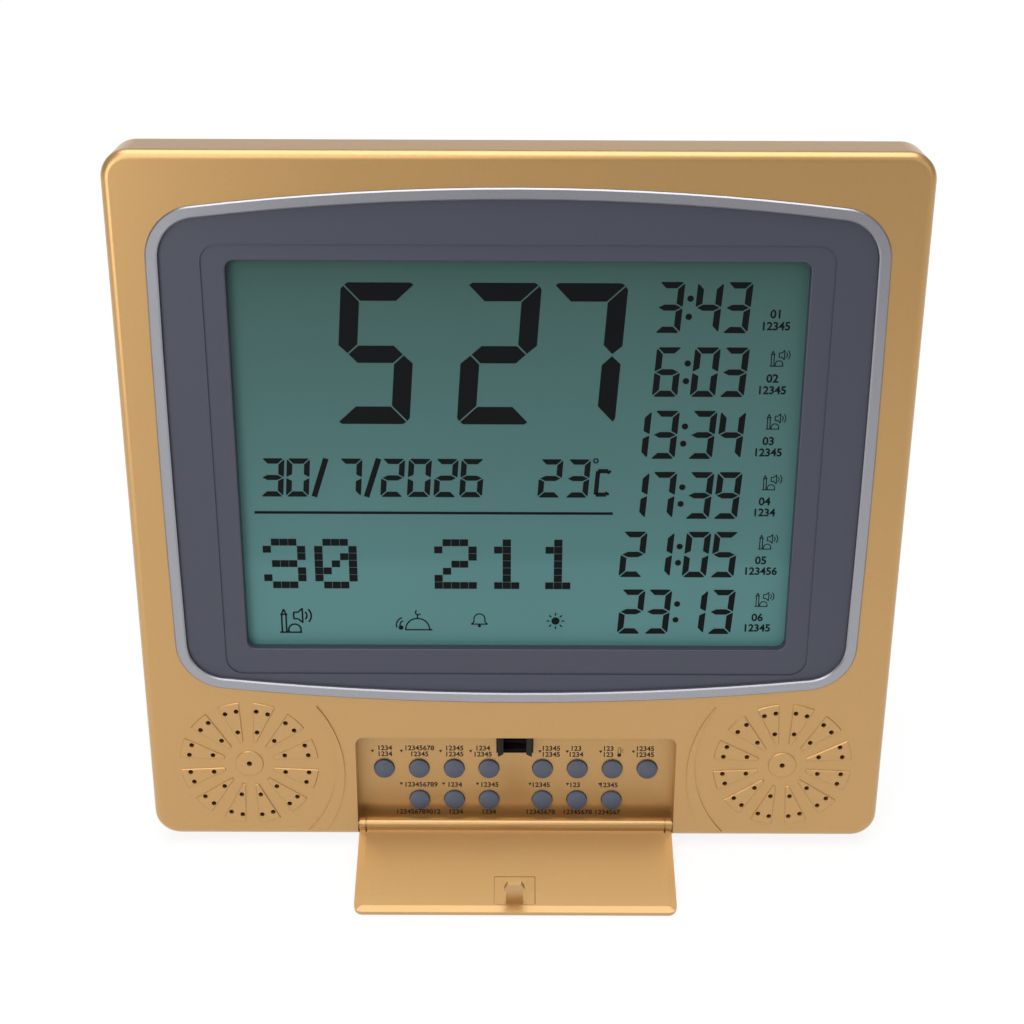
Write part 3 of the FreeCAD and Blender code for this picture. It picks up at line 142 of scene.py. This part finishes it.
# Studio lamps: place in metres, size in metres, power in watts
LAMPS = {
    "key": ((-0.55, -0.9, 1.25), 1.1, 9.0),
    "side": ((-0.75, -0.95, 0.4), 0.6, 4.0),
    "fill": ((0.9, -0.7, 0.8), 1.0, 2.0),
    "top": ((0.0, 0.3, 1.3), 1.4, 20.0),
}
LAMP_AIM_Z = 0.12
WORLD_STRENGTH = 0.3
CAMERA_LENS = 63.16
CAMERA_SENSOR = 36.0


class ClockSizes(bpy.types.PropertyGroup):
    """Sizes a user would change."""
    ink: bpy.props.FloatProperty(
        name="Ink", description="Thickness of the display's segments", default=INK, min=0.01, max=0.2)
    slant: bpy.props.FloatProperty(
        name="Slant", description="Lean of the display's digits, in degrees",
        default=SLANT_DEG, min=0.0, max=12.0)
    legend: bpy.props.FloatProperty(
        name="Legend height", description="Height of the printed numbers, in millimetres",
        default=1.9, min=1.0, max=3.0)


class ClockColours(bpy.types.PropertyGroup):
    """Colours a user would change, as sRGB hex values."""
    gold: bpy.props.StringProperty(name="Gold", description="Paint on the casing", default="#BC935A")
    bezel: bpy.props.StringProperty(name="Bezel", description="Moulded display surround", default="#383A48")
    silver: bpy.props.StringProperty(name="Silver", description="Plated ring", default="#9E9EA5")
    display_top: bpy.props.StringProperty(
        name="Display top", description="Display at its top edge", default="#344F4A")
    # Foot colour of the display, lighter than the top as a painted reflection in the glass
    display_foot_painted_reflection: bpy.props.StringProperty(
        name="Display foot", description="Display at its foot", default="#4B7474")
    ink: bpy.props.StringProperty(name="Segments", description="Display segments", default="#040608")
    button: bpy.props.StringProperty(name="Buttons", description="Moulded button caps", default="#4D5463")
    legend: bpy.props.StringProperty(name="Legends", description="Printed legends", default="#1E150C")


def colours():
    return bpy.context.scene.clock_colours


def sizes():
    return bpy.context.scene.clock_sizes


def linear(code):
    """sRGB hex to linear RGBA."""
    values = [int(code.lstrip("#")[k:k + 2], 16) / 255 for k in (0, 2, 4)]
    return [v / 12.92 if v <= 0.04045 else ((v + 0.055) / 1.055) ** 2.4 for v in values] + [1.0]


# Materials

def add(tree, kind, settings=None, links=None):
    """Adds a node, sets its properties and sockets, and links (socket, from node, from socket) into it."""
    node = tree.nodes.new(kind)
    for key, value in (settings or {}).items():
        if isinstance(key, str) and hasattr(node, key):
            setattr(node, key, value)
        else:
            node.inputs[key].default_value = value
    for socket, source, output in links or []:
        tree.links.new(source.outputs[output], node.inputs[socket])
    return node


def new_material(name):
    material = bpy.data.materials.new(name)
    material.use_nodes = True
    tree = material.node_tree
    tree.nodes.clear()
    coords = add(tree, "ShaderNodeTexCoord")
    return material, tree, coords


def finish_material(tree, shader):
    add(tree, "ShaderNodeOutputMaterial", links=[("Surface", shader, "BSDF")])


def noise(tree, coords, size_mm, detail=2.0, roughness=0.5):
    settings = {"Scale": 1000.0 / size_mm, "Detail": detail, "Roughness": roughness}
    return add(tree, "ShaderNodeTexNoise", settings, [("Vector", coords, "Object")])


def tinted(tree, source, dark, light, low=0.3, high=0.7):
    ramp = add(tree, "ShaderNodeValToRGB", links=[("Fac", source, 0)])
    ramp.color_ramp.elements[0].position = low
    ramp.color_ramp.elements[1].position = high
    ramp.color_ramp.elements[0].color = dark
    ramp.color_ramp.elements[1].color = light
    return ramp


def scaled(colour, factor):
    return [min(1.0, c * factor) for c in colour[:3]] + [1.0]


def spread(tree, source, low, high):
    return add(tree, "ShaderNodeMapRange", {"To Min": low, "To Max": high}, [("Value", source, 0)])


def moulded(name, code, grain_mm, bump_mm, rough, contrast=0.05, **shader_settings):
    """A moulded or painted surface: grain in the colour, the gloss and the relief."""
    material, tree, coords = new_material(name)
    base = linear(code)
    fine = noise(tree, coords, grain_mm)
    broad = noise(tree, coords, 45.0, 3.0)
    colour = tinted(tree, fine, scaled(base, 1 - contrast), scaled(base, 1 + contrast))
    gloss = spread(tree, broad, rough - 0.03, rough + 0.05)
    bump = add(tree, "ShaderNodeBump", {"Strength": 0.25, "Distance": bump_mm * MM}, [("Height", fine, 0)])
    links = [("Base Color", colour, 0), ("Roughness", gloss, 0), ("Normal", bump, 0)]
    shader = add(tree, "ShaderNodeBsdfPrincipled", shader_settings, links)
    finish_material(tree, shader)
    return material


def gold_paint():
    """Moulded ABS with sprayed champagne gold paint: a soft sheen with fine flakes, no clear reflections."""
    material, tree, coords = new_material("champagne_gold_paint_on_abs")
    base = linear(colours().gold)
    # Flakes are really 0.05 mm, drawn at 0.35 mm so that they show
    flakes = add(tree, "ShaderNodeTexVoronoi", {"Scale": 1000.0 / 0.35}, [("Vector", coords, "Object")])
    split = add(tree, "ShaderNodeSeparateColor", links=[("Color", flakes, "Color")])
    colour = tinted(tree, split, scaled(base, 0.975), scaled(base, 1.025), 0.0, 1.0)
    broad = noise(tree, coords, 60.0, 3.0)
    gloss = spread(tree, broad, 0.31, 0.38)
    orange_peel = noise(tree, coords, 1.4, 1.0)
    relief = {"Strength": 0.06, "Distance": 0.02 * MM}
    bump = add(tree, "ShaderNodeBump", relief, [("Height", orange_peel, 0)])
    links = [("Base Color", colour, 0), ("Roughness", gloss, 0), ("Normal", bump, 0)]
    settings = {"Metallic": 0.7, "Coat Weight": 0.6, "Coat Roughness": 0.28}
    finish_material(tree, add(tree, "ShaderNodeBsdfPrincipled", settings, links))
    return material


def satin_plating():
    """Satin nickel plate on moulded plastic: a pale ring with a brushed, soft mirror look."""
    return moulded("satin_nickel_plate_on_abs", colours().silver, 0.5, 0.01, 0.3, 0.04, Metallic=0.85)


def display_film():
    """Reflective liquid crystal cell under matt glass: grey green, lightened towards the foot by a painted
    reflection that ends in a darker step a quarter of the way up.
    """
    material, tree, coords = new_material("liquid_crystal_cell")
    low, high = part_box("lcd_front_glass")
    split = add(tree, "ShaderNodeSeparateXYZ", links=[("Vector", coords, "Object")])
    ends = {"From Min": low[2], "From Max": high[2]}
    height = add(tree, "ShaderNodeMapRange", ends, [("Value", split, "Z")])
    ramp = tinted(tree, height, linear(colours().display_foot_painted_reflection), linear(colours().display_top), 0.0, 1.0)
    # Painted reflection: the lighter foot fades a little, then steps darker a quarter of the way up, where
    # the reflection's edge lies
    middle = ramp.color_ramp.elements.new(0.23)
    middle.color = scaled(linear(colours().display_foot_painted_reflection), 0.97)
    edge = ramp.color_ramp.elements.new(0.27)
    edge.color = scaled(linear(colours().display_foot_painted_reflection), 0.86)
    cloud = noise(tree, coords, 70.0, 2.0)
    tone = spread(tree, cloud, 0.94, 1.06)
    mixed = add(tree, "ShaderNodeVectorMath", {"operation": "SCALE"}, [(0, ramp, 0), ("Scale", tone, 0)])
    settings = {"Roughness": 0.5, "Coat Weight": 0.1, "Coat Roughness": 0.1, "Specular IOR Level": 0.15}
    finish_material(tree, add(tree, "ShaderNodeBsdfPrincipled", settings, [("Base Color", mixed, 0)]))
    return material


def segment_ink():
    """Driven liquid crystal segments: near black, as dull as the glass over them."""
    material, tree, coords = new_material("driven_segments")
    base = linear(colours().ink)
    cloud = noise(tree, coords, 20.0)
    colour = tinted(tree, cloud, scaled(base, 0.85), scaled(base, 1.25))
    settings = {"Roughness": 0.5, "Coat Weight": 0.05, "Coat Roughness": 0.1, "Specular IOR Level": 0.1}
    finish_material(tree, add(tree, "ShaderNodeBsdfPrincipled", settings, [("Base Color", colour, 0)]))
    return material


def brushed_steel():
    """Plain drawn steel: bright metal with fine lines."""
    return moulded("drawn_steel", "#B9BABD", 0.25, 0.01, 0.32, 0.06, Metallic=1.0)


FINISHES = {
    "gold": gold_paint,
    "bezel": lambda: moulded("smooth_moulded_abs_grey", colours().bezel, 0.6, 0.02, 0.38, 0.03),
    # Darker gold for the door's moulding lines: painted shade in their grooves
    "witness": lambda: moulded(
        "gold_paint_darkened_as_painted_groove_shade", "#8A6838", 0.5, 0.02, 0.45, 0.05, Metallic=0.3),
    "silver": satin_plating,
    "display": display_film,
    "ink": segment_ink,
    "button": lambda: moulded("satin_moulded_buttons", colours().button, 0.5, 0.03, 0.42, 0.06),
    "black": lambda: moulded("black_moulded_acetal", "#17171A", 0.5, 0.02, 0.4, 0.1),
    "legend": lambda: moulded("pad_printed_ink", colours().legend, 0.4, 0.01, 0.6, 0.15),
    "white": lambda: moulded("white_moulded_abs", "#D5D5D0", 0.8, 0.02, 0.5, 0.03),
    "film": lambda: moulded("silvered_film", "#8F9A92", 0.6, 0.01, 0.5, 0.05, Metallic=0.3),
    "steel": brushed_steel,
    "board": lambda: moulded("masked_glass_fibre_board", "#1F5230", 0.7, 0.02, 0.35, 0.12),
    "parts": lambda: moulded("moulded_component_bodies", "#1B1B1D", 0.6, 0.02, 0.5, 0.1),
    "rubber": lambda: moulded("layered_rubber", "#29292B", 0.3, 0.02, 0.7, 0.1),
    "paper": lambda: moulded("pressed_black_paper", "#191716", 0.5, 0.05, 0.85, 0.2),
    "jacket": lambda: moulded("printed_cell_jacket", "#22262E", 1.2, 0.01, 0.3, 0.05),
    "wire": lambda: moulded("pvc_wire_jacket", "#9A231D", 0.4, 0.01, 0.45, 0.06),
    "ribbon": lambda: moulded("pvc_ribbon_jacket", "#C9C9C4", 0.6, 0.01, 0.5, 0.05),
}

NODE_FINISHES = {
    "front_case": "gold", "rear_cover": "gold", "control_door": "gold", "battery_cover": "gold",
    "stand_leg": "gold", "trim_ring": "silver", "display_bezel": "bezel", "lcd_front_glass": "display",
    "lcd_rear_glass": "display", "lcd_reflector": "film", "lcd_frame": "white",
    "zebra_strip": "rubber", "main_board": "board", "key_board": "board", "main_board_parts": "parts",
    "temperature_sensor": "parts", "tact_switches": "black", "latch_housing": "black",
    "latch_slider": "black", "latch_jaw_left": "black", "latch_jaw_right": "black",
    "speaker_cone_left": "paper", "speaker_cone_right": "paper", "battery_cells": "jacket",
    "speaker_leads": "wire", "battery_leads": "wire", "ribbon_cable": "ribbon",
}
MADE = {}


def finish(name):
    if name not in MADE:
        MADE[name] = FINISHES[name]()
    return MADE[name]


# Modelling helpers

def deselect():
    for each in bpy.context.selected_objects:
        each.select_set(False)


def only(piece):
    deselect()
    piece.select_set(True)
    bpy.context.view_layer.objects.active = piece


def flat_shape(points, y):
    """A filled disc with as many corners as the outline, its corners moved to the outline."""
    deselect()
    bpy.ops.mesh.primitive_circle_add(vertices=len(points), radius=1.0, fill_type="NGON")
    shape = bpy.context.object
    for vertex, (x, z) in zip(shape.data.vertices, points):
        vertex.co = Vector((x, y, z)) * MM
    return shape


def joined(shapes, name):
    deselect()
    for shape in shapes:
        shape.select_set(True)
    bpy.context.view_layer.objects.active = shapes[0]
    if len(shapes) > 1:
        bpy.ops.object.join()
    shapes[0].name = name
    return shapes[0]


def thickened(piece, depth):
    """Turns every face towards the viewer, then gives the plate its thickness, closed all round."""
    only(piece)
    bpy.ops.object.mode_set(mode="EDIT")
    bpy.ops.mesh.select_all(action="DESELECT")
    bpy.ops.object.mode_set(mode="OBJECT")
    for face in piece.data.polygons:
        face.select = face.normal.y > 0
    bpy.ops.object.mode_set(mode="EDIT")
    bpy.ops.mesh.flip_normals()
    bpy.ops.object.mode_set(mode="OBJECT")
    solid = piece.modifiers.new("thickness", "SOLIDIFY")
    solid.thickness = depth * MM
    solid.offset = 1.0
    bpy.ops.object.modifier_apply(modifier=solid.name)
    return piece


def stood(piece, body, material, matrix=None):
    """Leans the piece with the case, dresses it and ties it to its body."""
    piece.data.transform(STAND @ matrix if matrix else STAND)
    piece.data.materials.clear()
    piece.data.materials.append(finish(material))
    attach(piece, body)
    return piece


def plate(name, outlines, y, depth, body, material, matrix=None):
    shapes = [flat_shape(points, y) for points in outlines]
    piece = thickened(joined(shapes, name), depth)
    return stood(piece, body, material, matrix)


def text_outlines(words, x, z, height, y, align="CENTER"):
    """Plain characters as a flat mesh."""
    deselect()
    bpy.ops.object.text_add()
    letters = bpy.context.object
    letters.data.body = words
    letters.data.size = height * MM / 0.7
    letters.data.align_x = align
    letters.data.resolution_u = 3
    letters.data.offset = 0.035 * height * MM
    bpy.ops.object.convert(target="MESH")
    letters = bpy.context.object
    place = Matrix.Translation(Vector((x, y, z)) * MM) @ Matrix.Rotation(math.radians(90), 4, "X")
    letters.data.transform(place)
    return letters


# Display shapes

def segment_outlines(width, height, stroke, gap, tip):
    """The seven segments of a digit about its middle, with mitred ends.

    tip is how far the middle bar's ends are set in, in strokes.
    """
    w, h, s = width / 2, height / 2, stroke
    g = gap * 0.7
    top = [(-w + 0.12 * s + g, h - 0.12 * s), (-w + 0.3 * s + g, h), (w - 0.3 * s - g, h),
           (w - 0.12 * s - g, h - 0.12 * s), (w - s - g, h - s), (-w + s + g, h - s)]
    side = [(-w + 0.12 * s, h - 0.12 * s - g), (-w, h - 0.3 * s - g), (-w, 0.9 * tip * s + g),
            (-w + tip * s, g), (-w + s, 0.5 * s + g), (-w + s, h - s - g)]
    middle = [(-w + tip * s + g, 0.0), (-w + s + g, 0.48 * s), (w - s - g, 0.48 * s),
              (w - tip * s - g, 0.0), (w - s - g, -0.48 * s), (-w + s + g, -0.48 * s)]
    return {
        "a": top,
        "d": [(x, -z) for x, z in top],
        "f": side,
        "b": [(-x, z) for x, z in side],
        "e": [(x, -z) for x, z in side],
        "c": [(-x, -z) for x, z in side],
        "g": middle,
    }


def slanted(points, x, z):
    lean = math.tan(math.radians(sizes().slant))
    return [(x + px + pz * lean, z + pz) for px, pz in points]


def digit(character, x, z, width, height, stroke, gap, tip=0.1):
    outlines = segment_outlines(width, height, stroke, gap, tip)
    return [slanted(outlines[key], x, z) for key in SEGMENTS[character]]


def disc(x, z, r, corners=16):
    steps = [2 * math.pi * k / corners for k in range(corners)]
    return [(x + r * math.cos(a), z + r * math.sin(a)) for a in steps]


def line(points, width):
    """One four-cornered outline for each run of a line."""
    runs = []
    for (x0, z0), (x1, z1) in zip(points, points[1:]):
        length = math.hypot(x1 - x0, z1 - z0)
        if length < 0.01:
            continue
        px, pz = -(z1 - z0) / length * width / 2, (x1 - x0) / length * width / 2
        runs.append([(x0 + px, z0 + pz), (x1 + px, z1 + pz), (x1 - px, z1 - pz), (x0 - px, z0 - pz)])
    return runs


def arc(x, z, r, start, end, steps=8):
    angles = [math.radians(start + (end - start) * k / steps) for k in range(steps + 1)]
    return [(x + r * math.cos(a), z + r * math.sin(a)) for a in angles]


def moved(outlines, x, z, scale):
    return [[(x + px * scale, z + pz * scale) for px, pz in points] for points in outlines]


def caller_icon():
    """Tower and low dome with a loudspeaker, about 7 wide and 6 high."""
    thin = 0.34
    shapes = line([(0.5, 0.3), (0.5, 4.4), (0.95, 5.6), (1.4, 4.4), (1.4, 0.3)], thin)
    shapes += line([(0.2, 4.4), (1.7, 4.4)], thin)
    shapes += line([(0.0, 0.3), (4.6, 0.3)], thin)
    shapes += line([(1.6, 0.4)] + arc(3.1, 0.9, 1.3, 200, -20, 8), thin)
    shapes += line([(3.0, 3.4), (3.0, 4.9), (3.9, 4.9), (4.8, 5.8), (4.8, 2.5), (3.9, 3.4), (3.0, 3.4)], thin)
    for radius in (1.0, 1.9):
        shapes += line(arc(4.4, 4.15, radius + 0.3, -42, 42, 6), thin)
    return shapes


def dome_icon():
    """Low dome with a crescent and sound waves, about 12 wide."""
    thin = 0.42
    shapes = line([(3.4, 0.2)] + arc(7.2, 0.4, 3.6, 180, 0, 12) + [(11.6, 0.2), (3.4, 0.2)], thin)
    shapes += line([(7.2, 4.0), (7.2, 5.2)], thin)
    shapes += line(arc(7.4, 6.0, 0.8, 120, 330, 8), thin)
    for radius in (1.5, 2.6):
        shapes += line(arc(3.4, 1.8, radius, 110, 200, 6), thin)
    shapes.append(disc(2.2, 0.9, 0.75, 12))
    return shapes


def bell_icon():
    thin = 0.45
    side = [(-3.0, -1.6), (-2.0, -0.8)]
    crown = arc(0.0, 0.6, 2.0, 180, 0, 8)
    shapes = line(side + crown + [(2.0, -0.8), (3.0, -1.6)], thin)
    shapes += line([(3.0, -1.6), (-3.0, -1.6)], thin)
    shapes.append(disc(0.0, -2.3, 0.6, 10))
    return shapes


def sun_icon():
    shapes = [disc(0.0, 0.0, 1.25, 16)]
    for k in range(8):
        angle = k * math.pi / 4
        near, far = 1.8, 2.7
        points = [(r * math.cos(angle), r * math.sin(angle)) for r in (near, far)]
        shapes += line(points, 0.42)
    return shapes


# Operators

class CLOCK_OT_case_finishes(bpy.types.Operator):
    """Dresses the casing, the bezel, the buttons and the inner parts"""
    bl_idname = "clock.case_finishes"
    bl_label = "Case finishes"

    def execute(self, context):
        for name, node in frame["nodes"].items():
            kind = NODE_FINISHES.get(name, "button" if name.startswith("button_") else "steel")
            node.data.materials.clear()
            node.data.materials.append(finish(kind))
        return {"FINISHED"}


class CLOCK_OT_time_digits(bpy.types.Operator):
    """Adds the large time digits of the display"""
    bl_idname = "clock.time_digits"
    bl_label = "Time digits"

    def execute(self, context):
        outlines = []
        for character, x in BIG_DIGITS:
            outlines += digit(character, x, BIG_Z, BIG_WIDTH, BIG_HEIGHT, BIG_STROKE, 0.5, 0.5)
        plate("time_digits", outlines, GLASS_Y, sizes().ink, "case", "ink")
        return {"FINISHED"}


class CLOCK_OT_prayer_rows(bpy.types.Operator):
    """Adds the six small times at the right of the display, with their icons and row numbers"""
    bl_idname = "clock.prayer_rows"
    bl_label = "Prayer rows"

    def execute(self, context):
        outlines = []
        for words, z in zip(ROW_TIMES, ROW_Z):
            shown = words.replace(":", "").rjust(4)
            for character, x in zip(shown, ROW_DIGIT_X):
                if character != " ":
                    outlines += digit(character, x, z, ROW_WIDTH, ROW_HEIGHT, ROW_STROKE, 0.45)
            outlines += [disc(x, z + dz, 1.07) for x, dz in ROW_COLON]
        plate("prayer_times", outlines, GLASS_Y, sizes().ink, "case", "ink")
        marks = []
        numbers = []
        for k, z in enumerate(ROW_Z):
            if k:
                marks += moved(caller_icon(), ROW_ICON[0], z + ROW_ICON[1], 0.98)
            number = "%02d" % (k + 1)
            words = figures(ROW_WORDS[k], ROW_WORD_HEIGHT)
            numbers.append(text_outlines(number, ROW_WORD_X, z - 3.4, ROW_NUMBER_HEIGHT, GLASS_Y))
            numbers.append(text_outlines(words, ROW_WORD_X, z - 7.4, ROW_WORD_HEIGHT, GLASS_Y))
        plate("row_marks", marks, GLASS_Y, sizes().ink, "case", "ink")
        piece = thickened(joined(numbers, "row_numbers"), sizes().ink)
        stood(piece, "case", "ink")
        return {"FINISHED"}


class CLOCK_OT_date_row(bpy.types.Operator):
    """Adds the date, the temperature and the rule below them"""
    bl_idname = "clock.date_row"
    bl_label = "Date row"

    def execute(self, context):
        outlines = []
        for character, x in DATE_DIGITS + TEMPERATURE:
            outlines += digit(character, x, DATE_Z, DATE_WIDTH, DATE_HEIGHT, DATE_STROKE, 0.4)
        for x in SLASHES:
            outlines += line([(x - 2.2, DATE_Z - 6.9), (x + 2.2, DATE_Z + 6.9)], 1.9)
        outlines += line(arc(26.2, 144.0, 0.75, 0, 360, 14), 0.5)
        c_mark = [(31.0, 139.6), (30.4, 140.3), (27.0, 140.3), (26.4, 131.8), (29.9, 131.8), (30.4, 132.6)]
        outlines += line(c_mark, 1.5)
        x0, x1, z, width = RULE
        outlines += line([(x0, z), (x1, z)], width)
        plate("date_row", outlines, GLASS_Y, sizes().ink, "case", "ink")
        return {"FINISHED"}


class CLOCK_OT_dot_row(bpy.types.Operator):
    """Adds the dot matrix figures and the icons along the foot of the display"""
    bl_idname = "clock.dot_row"
    bl_label = "Dot row and icons"

    def execute(self, context):
        outlines = []
        half_w, half_h = DOT_CELL[0] / 2, DOT_CELL[1] / 2
        for column, character in DOT_COLUMNS:
            for row, bits in enumerate(DOT_FONT[character]):
                for k, bit in enumerate(bits):
                    if bit == "1":
                        x = DOT_X + (column + k + 0.5) * DOT_PITCH[0]
                        z = DOT_Z - row * DOT_PITCH[1]
                        outlines.append([(x - half_w, z - half_h), (x + half_w, z - half_h),
                                         (x + half_w, z + half_h), (x - half_w, z + half_h)])
        plate("dot_figures", outlines, GLASS_Y, sizes().ink, "case", "ink")
        icons = moved(caller_icon(), -82.0, 79.2, 1.68) + moved(dome_icon(), -42.5, 80.6, 1.15)
        icons += moved(bell_icon(), -12.8, 84.6, 0.95) + moved(sun_icon(), 13.5, 84.4, 1.15)
        plate("foot_icons", icons, GLASS_Y, sizes().ink, "case", "ink")
        return {"FINISHED"}


class CLOCK_OT_legends(bpy.types.Operator):
    """Prints plain numbers, bars and pointers beside the buttons"""
    bl_idname = "clock.legends"
    bl_label = "Button legends"

    def execute(self, context):
        height = sizes().legend
        y = RECESS_Y
        words = []
        for x, wide, narrow in UPPER_LEGENDS:
            words.append(text_outlines(figures(wide, height), x, LEGEND_HIGH_Z, height, y))
            words.append(text_outlines(figures(narrow, height), x, LEGEND_LOW_Z, height, y))
        for places, z in ((LOWER_LEGENDS, LOWER_LEGEND_Z), (BOTTOM_LEGENDS, BOTTOM_LINE_Z)):
            words += [text_outlines(figures(width, height), x, z, height, y) for x, width in places]
        piece = thickened(joined(words, "legend_numbers"), 0.03)
        stood(piece, "case", "legend")
        marks = []
        for places, z in ((UPPER_MARKS, UPPER_MARK_Z), (LOWER_MARKS, LOWER_MARK_Z)):
            marks += [[(x - 0.65, z), (x + 0.65, z), (x, z - 1.1)] for x in places]
        marks += moved(thermometer(), 37.2, 28.8, 1.0)
        plate("legend_marks", marks, y, 0.03, "case", "legend")
        return {"FINISHED"}


def figures(width, height):
    """Plain figures in order, as many as fill the width of a word."""
    count = max(2, round(width / (0.68 * height)))
    return "1234567890123"[:count]


def thermometer():
    shapes = line([(-0.45, 0.9), (-0.45, 3.0)] + arc(0.0, 3.0, 0.45, 180, 0, 6) + [(0.45, 0.9)], 0.22)
    shapes.append(disc(0.0, 0.3, 0.75, 14))
    for k in range(3):
        shapes += line([(0.8, 1.6 + 0.6 * k), (1.4, 1.6 + 0.6 * k)], 0.2)
    return shapes


class CLOCK_OT_door_marks(bpy.types.Operator):
    """Adds the moulding lines on the inside of the control door, in a darker gold that paints the shade in
    their grooves
    """
    bl_idname = "clock.door_marks"
    bl_label = "Door marks"

    def execute(self, context):
        low, high = WITNESS_Z
        left, right = WITNESS_X
        frame_lines = [(left, low), (right, low), (right, high), (left, high), (left, low)]
        shapes = line(frame_lines, 0.3) + line([(WITNESS_INNER_X, low), (WITNESS_INNER_X, high)], 0.25)
        opened = Matrix.Translation(HINGE_IN_CASE) @ Matrix.Rotation(DOOR_ANGLE, 4, "X")
        opened = opened @ Matrix.Translation(-HINGE_IN_CASE)
        plate("door_witness_lines", shapes, WITNESS_Y, 0.06, "door", "witness", opened)
        return {"FINISHED"}


class CLOCK_OT_stage(bpy.types.Operator):
    """Adds the floor, the lamps and the camera"""
    bl_idname = "clock.stage"
    bl_label = "Stage"

    def execute(self, context):
        deselect()
        bpy.ops.mesh.primitive_plane_add(size=12.0)
        floor = bpy.context.object
        floor.name = "floor"
        floor.data.materials.append(floor_material())
        for name, (place, size, power) in LAMPS.items():
            lamp(name, place, size, power)
        world = bpy.data.worlds.new("studio")
        bpy.context.scene.world = world
        world.use_nodes = True
        background = world.node_tree.nodes["Background"]
        background.inputs["Color"].default_value = (1, 1, 1, 1)
        background.inputs["Strength"].default_value = WORLD_STRENGTH
        deselect()
        bpy.ops.object.camera_add()
        camera = bpy.context.object
        camera.data.lens = CAMERA_LENS
        camera.data.sensor_width = CAMERA_SENSOR
        ahead = CAMERA_AHEAD.normalized()
        right = ahead.cross(CAMERA_UP).normalized()
        up = right.cross(ahead)
        basis = Matrix((right, up, -ahead)).transposed().to_4x4()
        camera.matrix_world = STAND @ Matrix.Translation(CAMERA_PLACE * MM) @ basis
        context.scene.camera = camera
        context.scene.view_settings.view_transform = "Standard"
        return {"FINISHED"}


def lamp(name, place, size, power):
    deselect()
    bpy.ops.object.light_add(type="AREA", location=place)
    light = bpy.context.object
    light.name = name
    light.data.size = size
    light.data.energy = power
    aim = Vector((0.0, 0.0, LAMP_AIM_Z)) - Vector(place)
    light.rotation_euler = aim.to_track_quat("-Z", "Y").to_euler()


def floor_material():
    """Plain white card: pale, dull, with a soft shadow."""
    material, tree, coords = new_material("white_card")
    fibres = noise(tree, coords, 3.0)
    colour = tinted(tree, fibres, linear("#F2F2F2"), linear("#F6F6F6"))
    card = add(tree, "ShaderNodeBsdfPrincipled", {"Roughness": 0.9}, [("Base Color", colour, 0)])
    glow = add(tree, "ShaderNodeEmission", {"Color": (1, 1, 1, 1), "Strength": 1.0})
    path = add(tree, "ShaderNodeLightPath")
    seen = add(tree, "ShaderNodeMath", {"operation": "MAXIMUM"},
               [(0, path, "Is Camera Ray"), (1, path, "Is Glossy Ray")])
    lift = add(tree, "ShaderNodeMath", {"operation": "MULTIPLY", 1: 0.86}, [(0, seen, 0)])
    mix = add(tree, "ShaderNodeMixShader", links=[("Fac", lift, 0), (1, card, 0), (2, glow, 0)])
    add(tree, "ShaderNodeOutputMaterial", links=[("Surface", mix, 0)])
    return material


OPERATORS = [
    CLOCK_OT_case_finishes, CLOCK_OT_time_digits, CLOCK_OT_prayer_rows, CLOCK_OT_date_row,
    CLOCK_OT_dot_row, CLOCK_OT_legends, CLOCK_OT_door_marks, CLOCK_OT_stage,
]


class CLOCK_PT_panel(bpy.types.Panel):
    """Sizes, colours and building steps of the clock"""
    bl_label = "Prayer time clock"
    bl_idname = "CLOCK_PT_panel"
    bl_space_type = "VIEW_3D"
    bl_region_type = "UI"
    bl_category = "Clock"

    def draw(self, context):
        for group in (context.scene.clock_sizes, context.scene.clock_colours):
            for key in group.bl_rna.properties.keys():
                if key not in ("rna_type", "name"):
                    self.layout.prop(group, key)
        for operator in OPERATORS:
            self.layout.operator(operator.bl_idname)


CLASSES = [ClockSizes, ClockColours] + OPERATORS + [CLOCK_PT_panel]


def register():
    for each in CLASSES:
        bpy.utils.register_class(each)
    bpy.types.Scene.clock_sizes = bpy.props.PointerProperty(type=ClockSizes)
    bpy.types.Scene.clock_colours = bpy.props.PointerProperty(type=ClockColours)


def unregister():
    del bpy.types.Scene.clock_sizes
    del bpy.types.Scene.clock_colours
    for each in reversed(CLASSES):
        bpy.utils.unregister_class(each)


def main():
    register()
    for operator in OPERATORS:
        group, step = operator.bl_idname.split(".")
        getattr(getattr(bpy.ops, group), step)()


if __name__ == "__main__":
    main()
